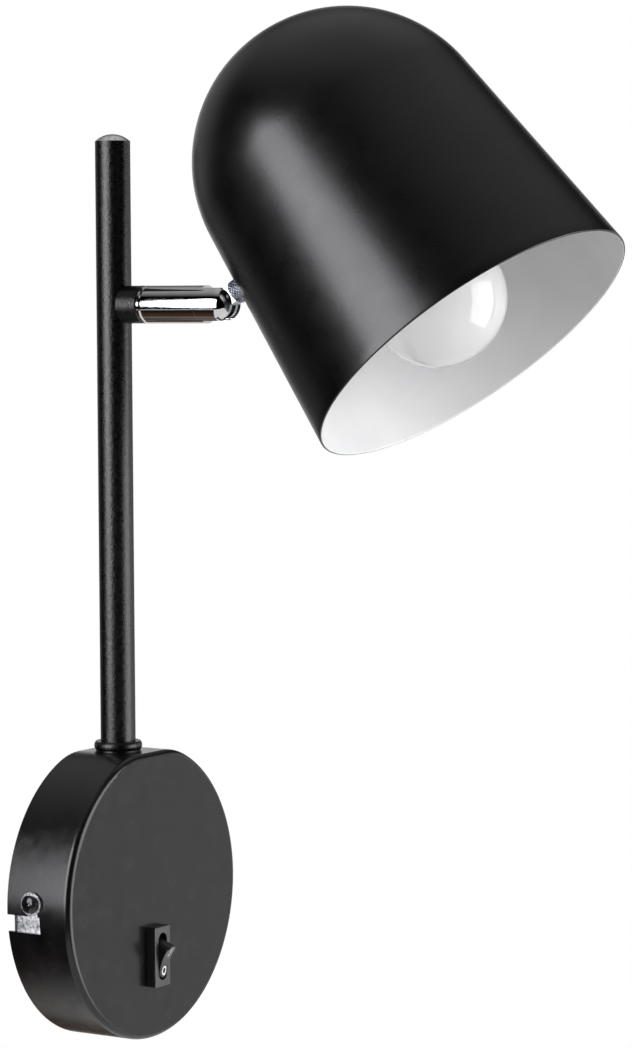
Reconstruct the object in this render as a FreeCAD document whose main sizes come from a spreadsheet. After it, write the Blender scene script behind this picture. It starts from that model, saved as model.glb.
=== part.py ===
import FreeCAD, Part
import math
import os
import re

import Sketcher

os.makedirs("parts", exist_ok=True)

# Wall lamp, millimetres. The wall is the plane y = 0, the lamp stands out towards -Y, +Z is up,
# +X is to the right of someone who faces the wall. The origin is the centre of the base on the wall.
SIZES = {
    # shared fits
    "overrun": 2.0,
    "running_fit": 0.05,
    "seat_gap": 0.02,
    "hex_share": 0.57735,
    # base cover, a drawn cup with a soft-shouldered flat on top where the rod's collar sits
    "base_radius": 50.0,
    "base_depth": 25.3,
    "cover_wall": 1.2,
    "front_round": 2.1,
    "shoulder_share": 0.6,
    "seat_margin": 0.25,
    # bayonet openings in the cover's rim, one on each side
    "notch_drop": 1.8,
    "notch_width": 5.7,
    "notch_depth": 13.2,
    "screw_slot": 4.3,
    "screw_reach": 10.3,
    "screw_rise": 2.6,
    # side screws and their washers
    "side_screw_radius": 2.0,
    "side_screw_grip": 6.0,
    "side_head_radius": 3.1,
    "side_head_height": 2.1,
    "side_head_round": 0.8,
    "side_washer_radius": 4.0,
    "side_washer_thick": 0.8,
    # wall bracket, a strap with a bent tab at each end
    "strap_width": 18.0,
    "strap_thick": 1.5,
    "strap_bend": 1.2,
    "tab_reach": 15.0,
    "tab_gap": 0.15,
    "tab_round": 3.0,
    "cable_hole_radius": 5.0,
    "wall_slot_pitch": 60.0,
    "wall_slot_length": 8.0,
    "wall_slot_radius": 2.3,
    # terminal block and its screws
    "block_place": 15.7,
    "block_width": 16.0,
    "block_length": 15.0,
    "block_height": 12.5,
    "block_round": 1.0,
    "pole_pitch": 8.4,
    "pole_bore_radius": 1.5,
    "pole_bore_height": 5.5,
    "pole_screw_pitch": 9.0,
    "pole_screw_radius": 1.4,
    "pole_screw_length": 5.6,
    "block_screw_radius": 1.25,
    "block_screw_head": 2.2,
    "block_screw_head_height": 1.4,
    # earth screw and washer
    "earth_place": -15.0,
    "earth_screw_radius": 2.0,
    "earth_head_radius": 3.8,
    "earth_head_height": 2.4,
    "earth_washer_radius": 4.5,
    "earth_washer_thick": 1.0,
    # rocker switch in the base's face
    "switch_shift": -0.5,
    "switch_drop": 21.4,
    "bezel_width": 9.0,
    "bezel_height": 20.7,
    "bezel_proud": 3.4,
    "bezel_corner": 0.6,
    "bezel_edge": 0.3,
    "housing_width": 7.4,
    "housing_height": 18.6,
    "housing_depth": 12.0,
    "rocker_slot_width": 5.1,
    "rocker_slot_height": 16.3,
    "rocker_well": 5.0,
    "rocker_side_gap": 0.12,
    "rocker_end_gap": 2.05,
    "rocker_pivot_proud": 1.4,
    "rocker_pin_radius": 0.8,
    "rocker_pin_grip": 0.9,
    "rocker_swing": 22.0,
    "rocker_end_proud": 4.9,
    "rocker_dip": 1.25,
    "rocker_inside": 3.0,
    "rocker_edge": 0.3,
    "blade_width": 2.8,
    "blade_thick": 0.8,
    "blade_length": 5.0,
    "blade_pitch": 9.6,
    # rod, its end plug, collar, nipple, lock washer and nut
    "rod_reach": 10.5,
    "rod_radius": 6.0,
    "rod_wall": 1.0,
    "rod_top": 256.4,
    "plug_rise": 2.4,
    "plug_depth": 8.0,
    "collar_neck_radius": 7.65,
    "collar_neck_height": 0.3,
    "collar_bead_radius": 8.25,
    "collar_bead_height": 3.0,
    "collar_floor": 1.2,
    "nipple_wall": 1.4,
    "nipple_inside": 11.0,
    "nipple_engage": 12.0,
    "rod_lock_radius": 8.5,
    "rod_lock_thick": 1.0,
    "rod_nut_flats": 14.0,
    "rod_nut_height": 3.0,
    # arm: boss on the rod, spacer ring, hollow swivel pin, washer and round nut
    "arm_height": 201.0,
    "arm_radius": 6.4,
    "boss_bite": 1.0,
    "boss_length": 7.1,
    "ring_width": 1.6,
    "ring_round": 0.4,
    "pin_step": 1.2,
    "pin_wall": 1.2,
    "pin_engage": 4.4,
    "arm_cable_radius": 3.4,
    "swivel_wall": 3.0,
    "swivel_washer_thick": 0.5,
    "swivel_nut_height": 2.6,
    "nut_slot_width": 1.2,
    "nut_slot_depth": 1.0,
    # knuckle: sleeve, clevis with its two ears, pivot screw and side washers
    "knuckle_wall": 1.2,
    "knuckle_chamfer": 0.4,
    "pivot_reach": 54.4,
    "clevis_shoulder": 7.4,
    "clevis_spigot": 5.0,
    "clevis_slot": 6.4,
    "pivot_screw_radius": 1.5,
    "pivot_head_radius": 2.6,
    "pivot_head_height": 1.5,
    "pivot_driver_width": 0.8,
    "pivot_driver_depth": 0.7,
    "pivot_tip_cover": 0.9,
    "tilt_washer_radius": 4.2,
    "tilt_washer_thick": 0.5,
    # stub: round eye in the clevis, neck, flange and threaded shank through the shade's wall
    "eye_radius": 5.0,
    "groove_width": 2.4,
    "groove_depth": 2.1,
    "neck_radius": 3.1,
    "neck_shoulder": 6.9,
    "stub_flange_radius": 4.5,
    "stub_flange_thick": 1.4,
    "stub_edge": 0.3,
    "stub_reach": 15.9,
    "stub_washer_radius": 4.8,
    "stub_washer_thick": 0.8,
    "shank_radius": 3.0,
    "shank_tip": 1.2,
    "stub_bore_radius": 1.9,
    "stub_nut_flats": 10.0,
    "stub_nut_height": 3.2,
    "stub_lock_radius": 5.6,
    "stub_lock_thick": 0.8,
    # shade, a cone that runs without a crease into a round dome
    "shade_tilt": 38.44,
    "cone_angle": 5.5,
    "mouth_radius": 58.1,
    "cone_height": 80.5,
    "shade_wall": 0.9,
    "foot_drop": 11.5,
    # lampholder bracket inside the shade
    "strip_width": 14.0,
    "strip_thick": 1.2,
    "strip_bend": 8.0,
    "strip_skirt": 8.0,
    "strip_rise": 5.1,
    "strip_end": 7.5,
    "strip_gap": 0.2,
    "strip_cable_inset": 22.5,
    "strip_cable_radius": 2.8,
    # lampholder, hung from the bracket towards the shade's mouth
    "holder_shift": -2.4,
    "holder_radius": 13.8,
    "holder_wall": 1.6,
    "holder_lip": 1.8,
    "holder_mouth_radius": 8.6,
    "skirt_gap": 7.0,
    "holder_top_thick": 2.4,
    "holder_round": 1.5,
    "skirt_lap": 4.0,
    "core_height": 8.0,
    "core_clear": 2.2,
    "shell_radius": 7.6,
    "shell_thick": 0.4,
    "contact_width": 4.0,
    "contact_thick": 0.5,
    "contact_rise": 1.6,
    "holder_nipple_radius": 5.0,
    "holder_nipple_bore": 3.2,
    "holder_nipple_engage": 4.5,
    "holder_nut_flats": 13.0,
    "holder_nut_height": 3.0,
    # bulb, a round opal globe on a small screw cap
    "bulb_radius": 22.5,
    "bulb_glass": 1.0,
    "bulb_neck_radius": 7.4,
    "bulb_waist_radius": 14.0,
    "bulb_cap_radius": 6.9,
    "bulb_cap_length": 18.2,
    "bulb_cap_wall": 0.4,
    "bulb_glaze_radius": 4.6,
    "bulb_glaze_height": 3.2,
    "bulb_tip_radius": 2.2,
    "bulb_tip_height": 1.2,
    # cables
    "flex_radius": 1.7,
    "core_radius": 0.9,
    "flex_bend": 7.0,
    "flex_gap": 0.68,
    "flex_free_drop": 14.8,
    "flex_short": 3.35,
    "core_bend": 5.0,
    "core_side": 1.0,
    "core_depth": 6.5,
    "core_insert": 5.0,
    "flex_insert": 4.0,
    "loop_rise": 17.4,
    "loop_bend": 9.0,
}

doc = FreeCAD.newDocument("wall_lamp")
sheet = doc.addObject("Spreadsheet::Sheet", "Sizes")
for row, (size_name, size) in enumerate(SIZES.items(), start=1):
    sheet.set(f"A{row}", size_name)
    sheet.set(f"B{row}", str(size))
    sheet.setAlias(f"B{row}", size_name)
doc.recompute()

X_AXIS = FreeCAD.Vector(1, 0, 0)
Y_AXIS = FreeCAD.Vector(0, 1, 0)
Z_AXIS = FreeCAD.Vector(0, 0, 1)


def tied(text):
    """The text with every size name pointing at its cell."""
    return re.sub(r"[a-z_]+", lambda word: f"Sizes.{word[0]}" if word[0] in SIZES else word[0], text)


def value(text):
    """The number that the text stands for now."""
    return float(sheet.evalExpression(tied(text)))


def tie(item, field, text):
    """Bind one property of an object to a rule written with size names."""
    item.setExpression(field, tied(text))


def place(item, x="0", y="0", z="0", axis=None, angle="0"):
    """Put an object at a place given by rules, turned by a rule about an axis."""
    if axis is not None:
        item.Placement = FreeCAD.Placement(FreeCAD.Vector(), FreeCAD.Rotation(axis, value(angle)))
        tie(item, "Placement.Rotation.Angle", angle)
    for field, text in (("x", x), ("y", y), ("z", z)):
        if text != "0":
            tie(item, f"Placement.Base.{field}", text)


# Rules that several pieces share: the base and the rod
QUARTER = "90"
COVER_INNER = "(base_radius - cover_wall)"
FACE_INNER = "(base_depth - cover_wall)"
SHOULDER = "(base_radius * shoulder_share)"
SHOULDER_HUB = f"(base_radius - {SHOULDER})"
SEAT_HALF = "(collar_neck_radius + seat_margin)"
SHOULDER_RISE = f"sqrt({SHOULDER_HUB}^2 - {SEAT_HALF}^2)"
SEAT = f"({SHOULDER} + {SHOULDER_RISE})"
SEAT_INNER = f"({SEAT} - cover_wall)"
TAB_FACE = f"(sqrt({COVER_INNER}^2 - (strap_width / 2)^2) - tab_gap)"
ROD_BORE = "(rod_radius - rod_wall)"
NIPPLE_RADIUS = f"({ROD_BORE} - seat_gap)"
ROD_FOOT = f"({SEAT} + collar_floor)"

# the arm, measured out from the wall
KNUCKLE_BORE = "(arm_radius - knuckle_wall)"
PIN_RADIUS = f"({KNUCKLE_BORE} - pin_step)"
PIN_BORE = f"({PIN_RADIUS} - pin_wall)"
BOSS_REAR = "(rod_reach + rod_radius - boss_bite)"
BOSS_FRONT = "(rod_reach + rod_radius + boss_length)"
RING_FRONT = f"({BOSS_FRONT} + ring_width)"
SWIVEL_REAR = f"({RING_FRONT} + running_fit)"
SWIVEL_FLOOR = f"({SWIVEL_REAR} + swivel_wall)"
WASHER_REACH = f"({SWIVEL_FLOOR} + running_fit)"
NUT_REACH = f"({WASHER_REACH} + swivel_washer_thick)"
KNUCKLE_SEAM = "(pivot_reach - clevis_shoulder)"
SLOT_FLOOR = "(pivot_reach - eye_radius - running_fit - tilt_washer_thick)"
EYE_HALF = "(clevis_slot / 2 - tilt_washer_thick - 2 * running_fit)"
WASHER_PLACE = f"({EYE_HALF} + running_fit)"

# the shade, measured along its axis from the mouth
DOME_RADIUS = "((mouth_radius - cone_height * tan(cone_angle)) / cos(cone_angle))"
DOME_CENTRE = f"(cone_height - {DOME_RADIUS} * sin(cone_angle))"
SHADE_TOP = f"({DOME_CENTRE} + {DOME_RADIUS})"
FOOT_STATION = "(cone_height - foot_drop)"
FOOT_RADIUS = f"(mouth_radius - {FOOT_STATION} * tan(cone_angle))"
AXIS_REACH = f"({FOOT_RADIUS} + stub_reach * cos(cone_angle))"
MOUTH_REACH = f"({FOOT_STATION} + stub_reach * sin(cone_angle))"
MOUTH_Y = f"-pivot_reach - {AXIS_REACH} * cos(shade_tilt) - {MOUTH_REACH} * sin(shade_tilt)"
MOUTH_Z = f"arm_height + {AXIS_REACH} * sin(shade_tilt) - {MOUTH_REACH} * cos(shade_tilt)"

# the stub, measured from the tilt pivot
STRIP_SAG = f"((strip_width / 2)^2 / (2 * ({FOOT_RADIUS} - shade_wall)))"
STRIP_OUTER = f"(stub_reach + shade_wall + {STRIP_SAG} + strip_gap)"
LOCK_PLACE = f"({STRIP_OUTER} + strip_thick)"
STUB_NUT_PLACE = f"({LOCK_PLACE} + stub_lock_thick)"
SHANK_END = f"({STUB_NUT_PLACE} + stub_nut_height + shank_tip)"

# the lampholder and the bulb, down from the bracket's cross strip
HOLDER_TOP = "(cone_height + strip_rise)"
NUT_SEAT = f"({HOLDER_TOP} + strip_thick)"
CUP_ROOF = f"({HOLDER_TOP} - holder_top_thick)"
CORE_FLOOR = f"({CUP_ROOF} - core_clear - core_height)"
BULB_END = f"({CORE_FLOOR} - contact_rise)"
CAP_END = f"({BULB_END} - bulb_tip_height - bulb_glaze_height)"
BULB_WAIST = f"({CAP_END} - bulb_cap_length)"
BULB_SPAN = "(bulb_radius + bulb_waist_radius)"
BULB_OFF = "(bulb_neck_radius + bulb_waist_radius)"
BULB_RISE = f"sqrt({BULB_SPAN}^2 - {BULB_OFF}^2)"
BULB_CENTRE = f"({BULB_WAIST} - {BULB_RISE})"
HOLDER_JOINT = f"({CORE_FLOOR} - skirt_lap - skirt_gap)"
HOLDER_MOUTH = f"({BULB_WAIST} - holder_lip)"

# the cables
STRIP_CABLE = f"({FOOT_RADIUS} - strip_cable_inset)"
FLEX_LANE = f"(-rod_reach + {NIPPLE_RADIUS} - nipple_wall - flex_radius - flex_gap)"
FLEX_END = f"({SEAT_INNER} - flex_free_drop)"
TURN_SHARES = (0.57, 0.43)
VOLUME_SHARE = 0.01

FRAMES = {
    "wall": {},
    "rod": {"y": "-rod_reach"},
    "arm": {"z": "arm_height", "axis": X_AXIS, "angle": QUARTER},
    "pivot": {"y": "-pivot_reach", "z": "arm_height", "axis": Y_AXIS, "angle": QUARTER},
    "stub": {"y": "-pivot_reach", "z": "arm_height", "axis": X_AXIS,
             "angle": f"{QUARTER} - shade_tilt + cone_angle"},
    "shade": {"y": MOUTH_Y, "z": MOUTH_Z, "axis": X_AXIS, "angle": "-shade_tilt"},
    "holder": {"x": "holder_shift", "y": MOUTH_Y, "z": MOUTH_Z, "axis": X_AXIS, "angle": "-shade_tilt"},
    "left": {"x": "-base_radius", "y": "-screw_reach", "z": "screw_rise", "axis": Y_AXIS,
             "angle": f"-{QUARTER}"},
    "right": {"x": "base_radius", "y": "-screw_reach", "z": "screw_rise", "axis": Y_AXIS, "angle": QUARTER},
    "switch": {"x": "switch_shift", "y": "-base_depth", "z": "-switch_drop"},
    "rocker": {"x": "switch_shift", "y": "-base_depth - rocker_pivot_proud", "z": "-switch_drop",
               "axis": X_AXIS, "angle": "rocker_swing"},
    "block": {"x": "block_place", "y": "-strap_thick", "axis": X_AXIS, "angle": QUARTER},
    "earth": {"x": "earth_place", "y": "-strap_thick", "axis": X_AXIS, "angle": QUARTER},
}


def new_body(label, frame):
    """A body with its own name, standing in one of the shared frames."""
    body = doc.addObject("PartDesign::Body", label)
    body.Label = label
    place(body, **FRAMES[frame])
    return body


def new_sketch(body, plane, lift="0"):
    """A sketch on one of the body's own planes, lifted off it along its normal."""
    sketch = body.newObject("Sketcher::SketchObject", f"{body.Name}_sketch")
    support = next(item for item in body.Origin.OriginFeatures if item.Role == plane)
    sketch.AttachmentSupport = [(support, "")]
    sketch.MapMode = "FlatFace"
    if lift != "0":
        tie(sketch, "AttachmentOffset.Base.z", lift)
    return sketch


def bind_constraint(sketch, constraint, name, text):
    """Add a constraint and bind its value to a rule."""
    index = sketch.addConstraint(constraint)
    sketch.renameConstraint(index, name)
    tie(sketch, f"Constraints.{name}", text)


def pin_point(sketch, edge, end, across, up):
    """Hold one end of an edge at a place given by two rules."""
    tag = sketch.ConstraintCount
    if across == "0":
        sketch.addConstraint(Sketcher.Constraint("PointOnObject", edge, end, -2))
    else:
        rule = Sketcher.Constraint("DistanceX", -1, 1, edge, end, value(across))
        bind_constraint(sketch, rule, f"across_{tag}", across)
    if up == "0":
        sketch.addConstraint(Sketcher.Constraint("PointOnObject", edge, end, -1))
    else:
        rule = Sketcher.Constraint("DistanceY", -1, 1, edge, end, value(up))
        bind_constraint(sketch, rule, f"up_{tag}", up)


def arc_edge(start, end, radius, side):
    """An arc of less than a half turn; side 1 has its centre on the left of the way from start to end."""
    chord = end - start
    half = chord.Length / 2
    left = FreeCAD.Vector(-chord.y, chord.x, 0).normalize()
    centre = (start + end) / 2 + left * side * math.sqrt(max(radius ** 2 - half ** 2, 0))
    first, last = (start, end) if side > 0 else (end, start)
    first_angle = math.atan2(first.y - centre.y, first.x - centre.x)
    last_angle = math.atan2(last.y - centre.y, last.x - centre.x)
    return Part.ArcOfCircle(Part.Circle(centre, Z_AXIS, radius), first_angle, last_angle)


def outline(sketch, corners):
    """A closed outline. A corner is (across, up), and (across, up, radius, side) where an arc leads to it."""
    spots = [FreeCAD.Vector(value(corner[0]), value(corner[1]), 0) for corner in corners]
    edges = []
    for index, corner in enumerate(corners):
        start, end = spots[index - 1], spots[index]
        if len(corner) == 2:
            number = sketch.addGeometry(Part.LineSegment(start, end))
            edges.append((number, 1, 2))
        else:
            number = sketch.addGeometry(arc_edge(start, end, value(corner[2]), corner[3]))
            edges.append((number, 1, 2) if corner[3] > 0 else (number, 2, 1))
    for index, corner in enumerate(corners):
        number, start, end = edges[index]
        following = edges[(index + 1) % len(edges)]
        sketch.addConstraint(Sketcher.Constraint("Coincident", number, end, following[0], following[1]))
        pin_point(sketch, number, end, corner[0], corner[1])
        if len(corner) > 2:
            tag = f"bend_{sketch.ConstraintCount}"
            bind_constraint(sketch, Sketcher.Constraint("Radius", number, value(corner[2])), tag, corner[2])
    return sketch


def ring(sketch, radius, across="0", up="0"):
    """A full circle at a place given by two rules."""
    spot = FreeCAD.Vector(value(across), value(up), 0)
    number = sketch.addGeometry(Part.Circle(spot, Z_AXIS, value(radius)))
    pin_point(sketch, number, 3, across, up)
    tag = f"size_{sketch.ConstraintCount}"
    bind_constraint(sketch, Sketcher.Constraint("Radius", number, value(radius)), tag, radius)
    return sketch


def block_outline(sketch, half_width, half_height, corner, across="0", up="0"):
    """A rectangle with rounded corners about a place."""
    right, left = f"{across} + {half_width}", f"{across} - {half_width}"
    top, low = f"{up} + {half_height}", f"{up} - {half_height}"
    return outline(sketch, [
        (f"{right} - {corner}", low),
        (right, f"{low} + {corner}", corner, 1),
        (right, f"{top} - {corner}"),
        (f"{right} - {corner}", top, corner, 1),
        (f"{left} + {corner}", top),
        (left, f"{top} - {corner}", corner, 1),
        (left, f"{low} + {corner}"),
        (f"{left} + {corner}", low, corner, 1),
    ])


def slot_outline(sketch, half_width, half_length, across="0", up="0"):
    """A slot with round ends that stands upright about a place."""
    right, left = f"{across} + {half_width}", f"{across} - {half_width}"
    top, low = f"{up} + {half_length} - {half_width}", f"{up} - {half_length} + {half_width}"
    return outline(sketch, [
        (right, low, half_width, 1),
        (right, top),
        (across, f"{top} + {half_width}", half_width, 1),
        (left, top, half_width, 1),
        (left, low),
        (across, f"{low} - {half_width}", half_width, 1),
    ])


def pad(body, sketch, length, both=False, backwards=False):
    """Material along the sketch's normal."""
    feature = body.newObject("PartDesign::Pad", f"{body.Name}_pad")
    feature.Profile = sketch
    tie(feature, "Length", length)
    feature.SideType = "Symmetric" if both else "One side"
    feature.Reversed = backwards
    doc.recompute()
    return feature


def pocket(body, sketch, length=None, both=False, backwards=False):
    """A cut against the sketch's normal, all the way through where no length is given."""
    before = body.Shape.Volume
    feature = body.newObject("PartDesign::Pocket", f"{body.Name}_pocket")
    feature.Profile = sketch
    if length is None:
        feature.Type = "ThroughAll"
    else:
        tie(feature, "Length", length)
    feature.SideType = "Symmetric" if both else "One side"
    feature.Reversed = backwards
    doc.recompute()
    if not body.Shape.Volume < before:
        raise RuntimeError(f"{body.Label}: a pocket cuts nothing")
    return feature


def turn(body, corners, plane="XZ_Plane"):
    """Material turned about the upright axis of a plane from a half outline of (radius, height)."""
    sketch = outline(new_sketch(body, plane), corners)
    feature = body.newObject("PartDesign::Revolution", f"{body.Name}_turn")
    feature.Profile = sketch
    feature.ReferenceAxis = (sketch, ["V_Axis"])
    feature.Angle = 360
    doc.recompute()
    return feature


def turned(label, frame, corners):
    """A turned piece in one of the shared frames."""
    body = new_body(label, frame)
    turn(body, corners)
    return body


def tube_corners(outer, inner, low, high):
    """The half outline of a plain ring or tube."""
    return [(inner, low), (outer, low), (outer, high), (inner, high)]


def drill(body, radius, length, x="0", y="0", z="0", axis=None, angle="0"):
    """A round hole that starts at a place and runs along the turned Z axis."""
    before = body.Shape.Volume
    hole = body.newObject("PartDesign::SubtractiveCylinder", f"{body.Name}_hole")
    tie(hole, "Radius", radius)
    tie(hole, "Height", length)
    place(hole, x, y, z, axis, angle)
    doc.recompute()
    if not body.Shape.Volume < before:
        raise RuntimeError(f"{body.Label}: a hole cuts nothing")
    return hole


def edge_names(body, test):
    """Names of the edges of a body, in its own frame, that pass a test."""
    shape = body.Tip.Shape
    return [f"Edge{number}" for number, edge in enumerate(shape.Edges, start=1) if test(edge)]


def near(first, second):
    """True where two lengths are alike."""
    return abs(first - second) < 1e-4


def at_height(axis, height):
    """A test for edges that lie wholly at one coordinate."""
    wanted = value(height)

    def test(edge):
        box = edge.BoundBox
        low = getattr(box, f"{axis}Min")
        high = getattr(box, f"{axis}Max")
        return near(low, wanted) and near(high, wanted)
    return test


def at_rim(radius, height):
    """A test for the full circle of one radius about Z at one height."""
    wanted = value(radius)
    level = at_height("Z", height)

    def test(edge):
        return level(edge) and hasattr(edge.Curve, "Radius") and near(edge.Curve.Radius, wanted)
    return test


def soften(body, test, size, kind="Fillet"):
    """Round or bevel the edges that pass a test."""
    names = edge_names(body, test)
    if not names:
        raise RuntimeError(f"{body.Label}: no edge to soften")
    feature = body.newObject(f"PartDesign::{kind}", f"{body.Name}_{kind}")
    feature.Base = (body.Tip if body.Tip != feature else feature.BaseFeature, names)
    tie(feature, "Radius" if kind == "Fillet" else "Size", size)
    doc.recompute()
    return feature


def hex_nut(label, frame, flats, bore, low, height):
    """A six-sided nut with a round bore."""
    body = new_body(label, frame)
    prism = body.newObject("PartDesign::AdditivePrism", f"{label}_prism")
    prism.Polygon = 6
    tie(prism, "Circumradius", f"{flats} * hex_share")
    tie(prism, "Height", height)
    place(prism, z=low)
    doc.recompute()
    drill(body, bore, f"{height} + 2 * overrun", z=f"{low} - overrun")
    return body


def screw(label, frame, shank, head, head_height, tip, head_seat="0", x="0", y="0"):
    """A screw whose head stands on a seat and whose shank runs down to its tip."""
    body = new_body(label, frame)
    turn(body, [
        ("0", tip),
        (shank, tip),
        (shank, head_seat),
        (head, head_seat),
        (head, f"{head_seat} + {head_height}"),
        ("0", f"{head_seat} + {head_height}"),
    ])
    return body


def base_cover():
    """Drawn cup with a softened front edge, a seat for the collar, side notches and a switch opening."""
    body = new_body("base_cover", "wall")

    def cup(radius, seat, shoulder):
        share = f"({radius} / {SHOULDER_HUB})"
        across, up = f"({SEAT_HALF} * {share})", f"({SHOULDER_RISE} * {share})"
        return [
            (f"-{across}", up, shoulder, 1),
            ("0", f"-{radius}", radius, 1),
            (across, up, radius, 1),
            (SEAT_HALF, seat, shoulder, 1),
            (f"-{SEAT_HALF}", seat),
        ]
    sketch = new_sketch(body, "XZ_Plane")
    pad(body, outline(sketch, cup("base_radius", SEAT, SHOULDER)), "base_depth")
    soften(body, at_height("Y", "-base_depth"), "front_round")
    hollow = outline(new_sketch(body, "XZ_Plane"), cup(COVER_INNER, SEAT_INNER, f"({SHOULDER} - cover_wall)"))
    pocket(body, hollow, FACE_INNER, backwards=True)
    soften(body, at_height("Y", f"-{FACE_INNER}"), "front_round - cover_wall")
    near_side = "(screw_reach - screw_slot / 2)"
    far_side = "(screw_reach + screw_slot / 2)"
    low = "(notch_drop + notch_width)"
    notch = outline(new_sketch(body, "YZ_Plane"), [
        ("overrun", f"-{low}"),
        ("overrun", "-notch_drop"),
        (f"-{near_side}", "-notch_drop"),
        (f"-{near_side}", "screw_rise"),
        ("-screw_reach", "screw_rise + screw_slot / 2", "screw_slot / 2", 1),
        (f"-{far_side}", "screw_rise", "screw_slot / 2", 1),
        (f"-{far_side}", "-notch_drop"),
        ("-notch_depth", "-notch_drop"),
        ("-notch_depth", f"-{low}"),
    ])
    pocket(body, notch, both=True)
    opening = block_outline(new_sketch(body, "XZ_Plane"), "(housing_width / 2 + seat_gap)",
                            "(housing_height / 2 + seat_gap)", "bezel_edge", "switch_shift", "-switch_drop")
    pocket(body, opening, backwards=True)
    drill(body, f"{NIPPLE_RADIUS} + seat_gap", "cover_wall + 2 * overrun", y="-rod_reach",
          z=f"{SEAT_INNER} - overrun")
    return body


def wall_bracket():
    """Strap with a bent tab at each end, wall slots, a cable hole and threaded holes."""
    body = new_body("wall_bracket", "wall")
    outer = "(strap_bend + strap_thick)"
    inner_face = f"({TAB_FACE} - strap_thick)"
    profile = outline(new_sketch(body, "XY_Plane"), [
        (f"{TAB_FACE} - {outer}", "0", outer, 1),
        (f"-{TAB_FACE} + {outer}", "0"),
        (f"-{TAB_FACE}", f"-{outer}", outer, 1),
        (f"-{TAB_FACE}", "-tab_reach"),
        (f"-{inner_face}", "-tab_reach"),
        (f"-{inner_face}", f"-{outer}"),
        (f"-{inner_face} + strap_bend", "-strap_thick", "strap_bend", -1),
        (f"{inner_face} - strap_bend", "-strap_thick"),
        (inner_face, f"-{outer}", "strap_bend", -1),
        (inner_face, "-tab_reach"),
        (TAB_FACE, "-tab_reach"),
        (TAB_FACE, f"-{outer}"),
    ])
    pad(body, profile, "strap_width", both=True)
    half = "(strap_width / 2)"
    corner_reach = value("tab_reach")
    corner_height = value(half)

    def tab_corner(edge):
        box = edge.BoundBox
        upright = near(abs(box.ZMin), corner_height) and near(box.ZMin, box.ZMax)
        return upright and near(box.YMin, box.YMax) and near(box.YMin, -corner_reach)
    soften(body, tab_corner, "tab_round")
    turn_out = {"axis": X_AXIS, "angle": QUARTER}
    drill(body, "cable_hole_radius", "strap_thick + 2 * overrun", y="overrun", **turn_out)
    drill(body, "earth_screw_radius + seat_gap", "strap_thick + 2 * overrun", x="earth_place", y="overrun",
          **turn_out)
    drill(body, "block_screw_radius + seat_gap", "strap_thick + 2 * overrun", x="block_place", y="overrun",
          **turn_out)
    for side in ("", "-"):
        sketch = new_sketch(body, "XZ_Plane")
        middle = f"{side}wall_slot_pitch / 2"
        run = "(wall_slot_length / 2 - wall_slot_radius)"
        outline(sketch, [
            (f"{middle} + {run}", "-wall_slot_radius"),
            (f"{middle} + {run} + wall_slot_radius", "0", "wall_slot_radius", 1),
            (f"{middle} + {run}", "wall_slot_radius", "wall_slot_radius", 1),
            (f"{middle} - {run}", "wall_slot_radius"),
            (f"{middle} - {run} - wall_slot_radius", "0", "wall_slot_radius", 1),
            (f"{middle} - {run}", "-wall_slot_radius", "wall_slot_radius", 1),
        ])
        pocket(body, sketch, backwards=True)
        start = f"{inner_face} - overrun" if side == "" else f"-{TAB_FACE} - overrun"
        drill(body, "side_screw_radius + seat_gap", "strap_thick + 2 * overrun", x=start, y="-screw_reach",
              z="screw_rise", axis=Y_AXIS, angle=QUARTER)
    return body


def group(label, pieces):
    """Identical separate pieces under one name."""
    pair = doc.addObject("Part::Compound", label)
    pair.Label = label
    pair.Links = pieces
    return pair


def side_fixing(side):
    """One of the two screws that hold the cover to the bracket, and its washer."""
    washer = turned(f"washer_{side}", side,
                    tube_corners("side_washer_radius", "side_screw_radius + running_fit", "seat_gap",
                                 "side_washer_thick"))
    fixing = screw(f"screw_{side}", side, "side_screw_radius", "side_head_radius", "side_head_height",
                   "-side_screw_grip", "side_washer_thick")
    soften(fixing, at_rim("side_head_radius", "side_washer_thick + side_head_height"), "side_head_round")
    return washer, fixing


def side_fixings():
    """The screws and washers on both sides."""
    washers, screws = zip(*(side_fixing(side) for side in ("left", "right")))
    return [group("side_screws", screws), group("side_washers", washers)]


def switch_housing():
    """Bezel that stands proud of the face, and the body that passes through it."""
    body = new_body("switch_housing", "switch")
    pad(body, block_outline(new_sketch(body, "XZ_Plane"), "bezel_width / 2", "bezel_height / 2",
                            "bezel_corner"), "bezel_proud")
    soften(body, at_height("Y", "-bezel_proud"), "bezel_edge")
    pad(body, block_outline(new_sketch(body, "XZ_Plane"), "housing_width / 2", "housing_height / 2",
                            "bezel_edge"), "housing_depth", backwards=True)
    well = slot_outline(new_sketch(body, "XZ_Plane", "bezel_proud"), "rocker_slot_width / 2",
                        "rocker_slot_height / 2")
    pocket(body, well, "bezel_proud + rocker_well")
    span = "(rocker_slot_width + 2 * rocker_pin_grip + 2 * running_fit)"
    drill(body, "rocker_pin_radius + running_fit", span, x=f"-{span} / 2", y="-rocker_pivot_proud",
          axis=Y_AXIS, angle=QUARTER)
    return body


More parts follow.
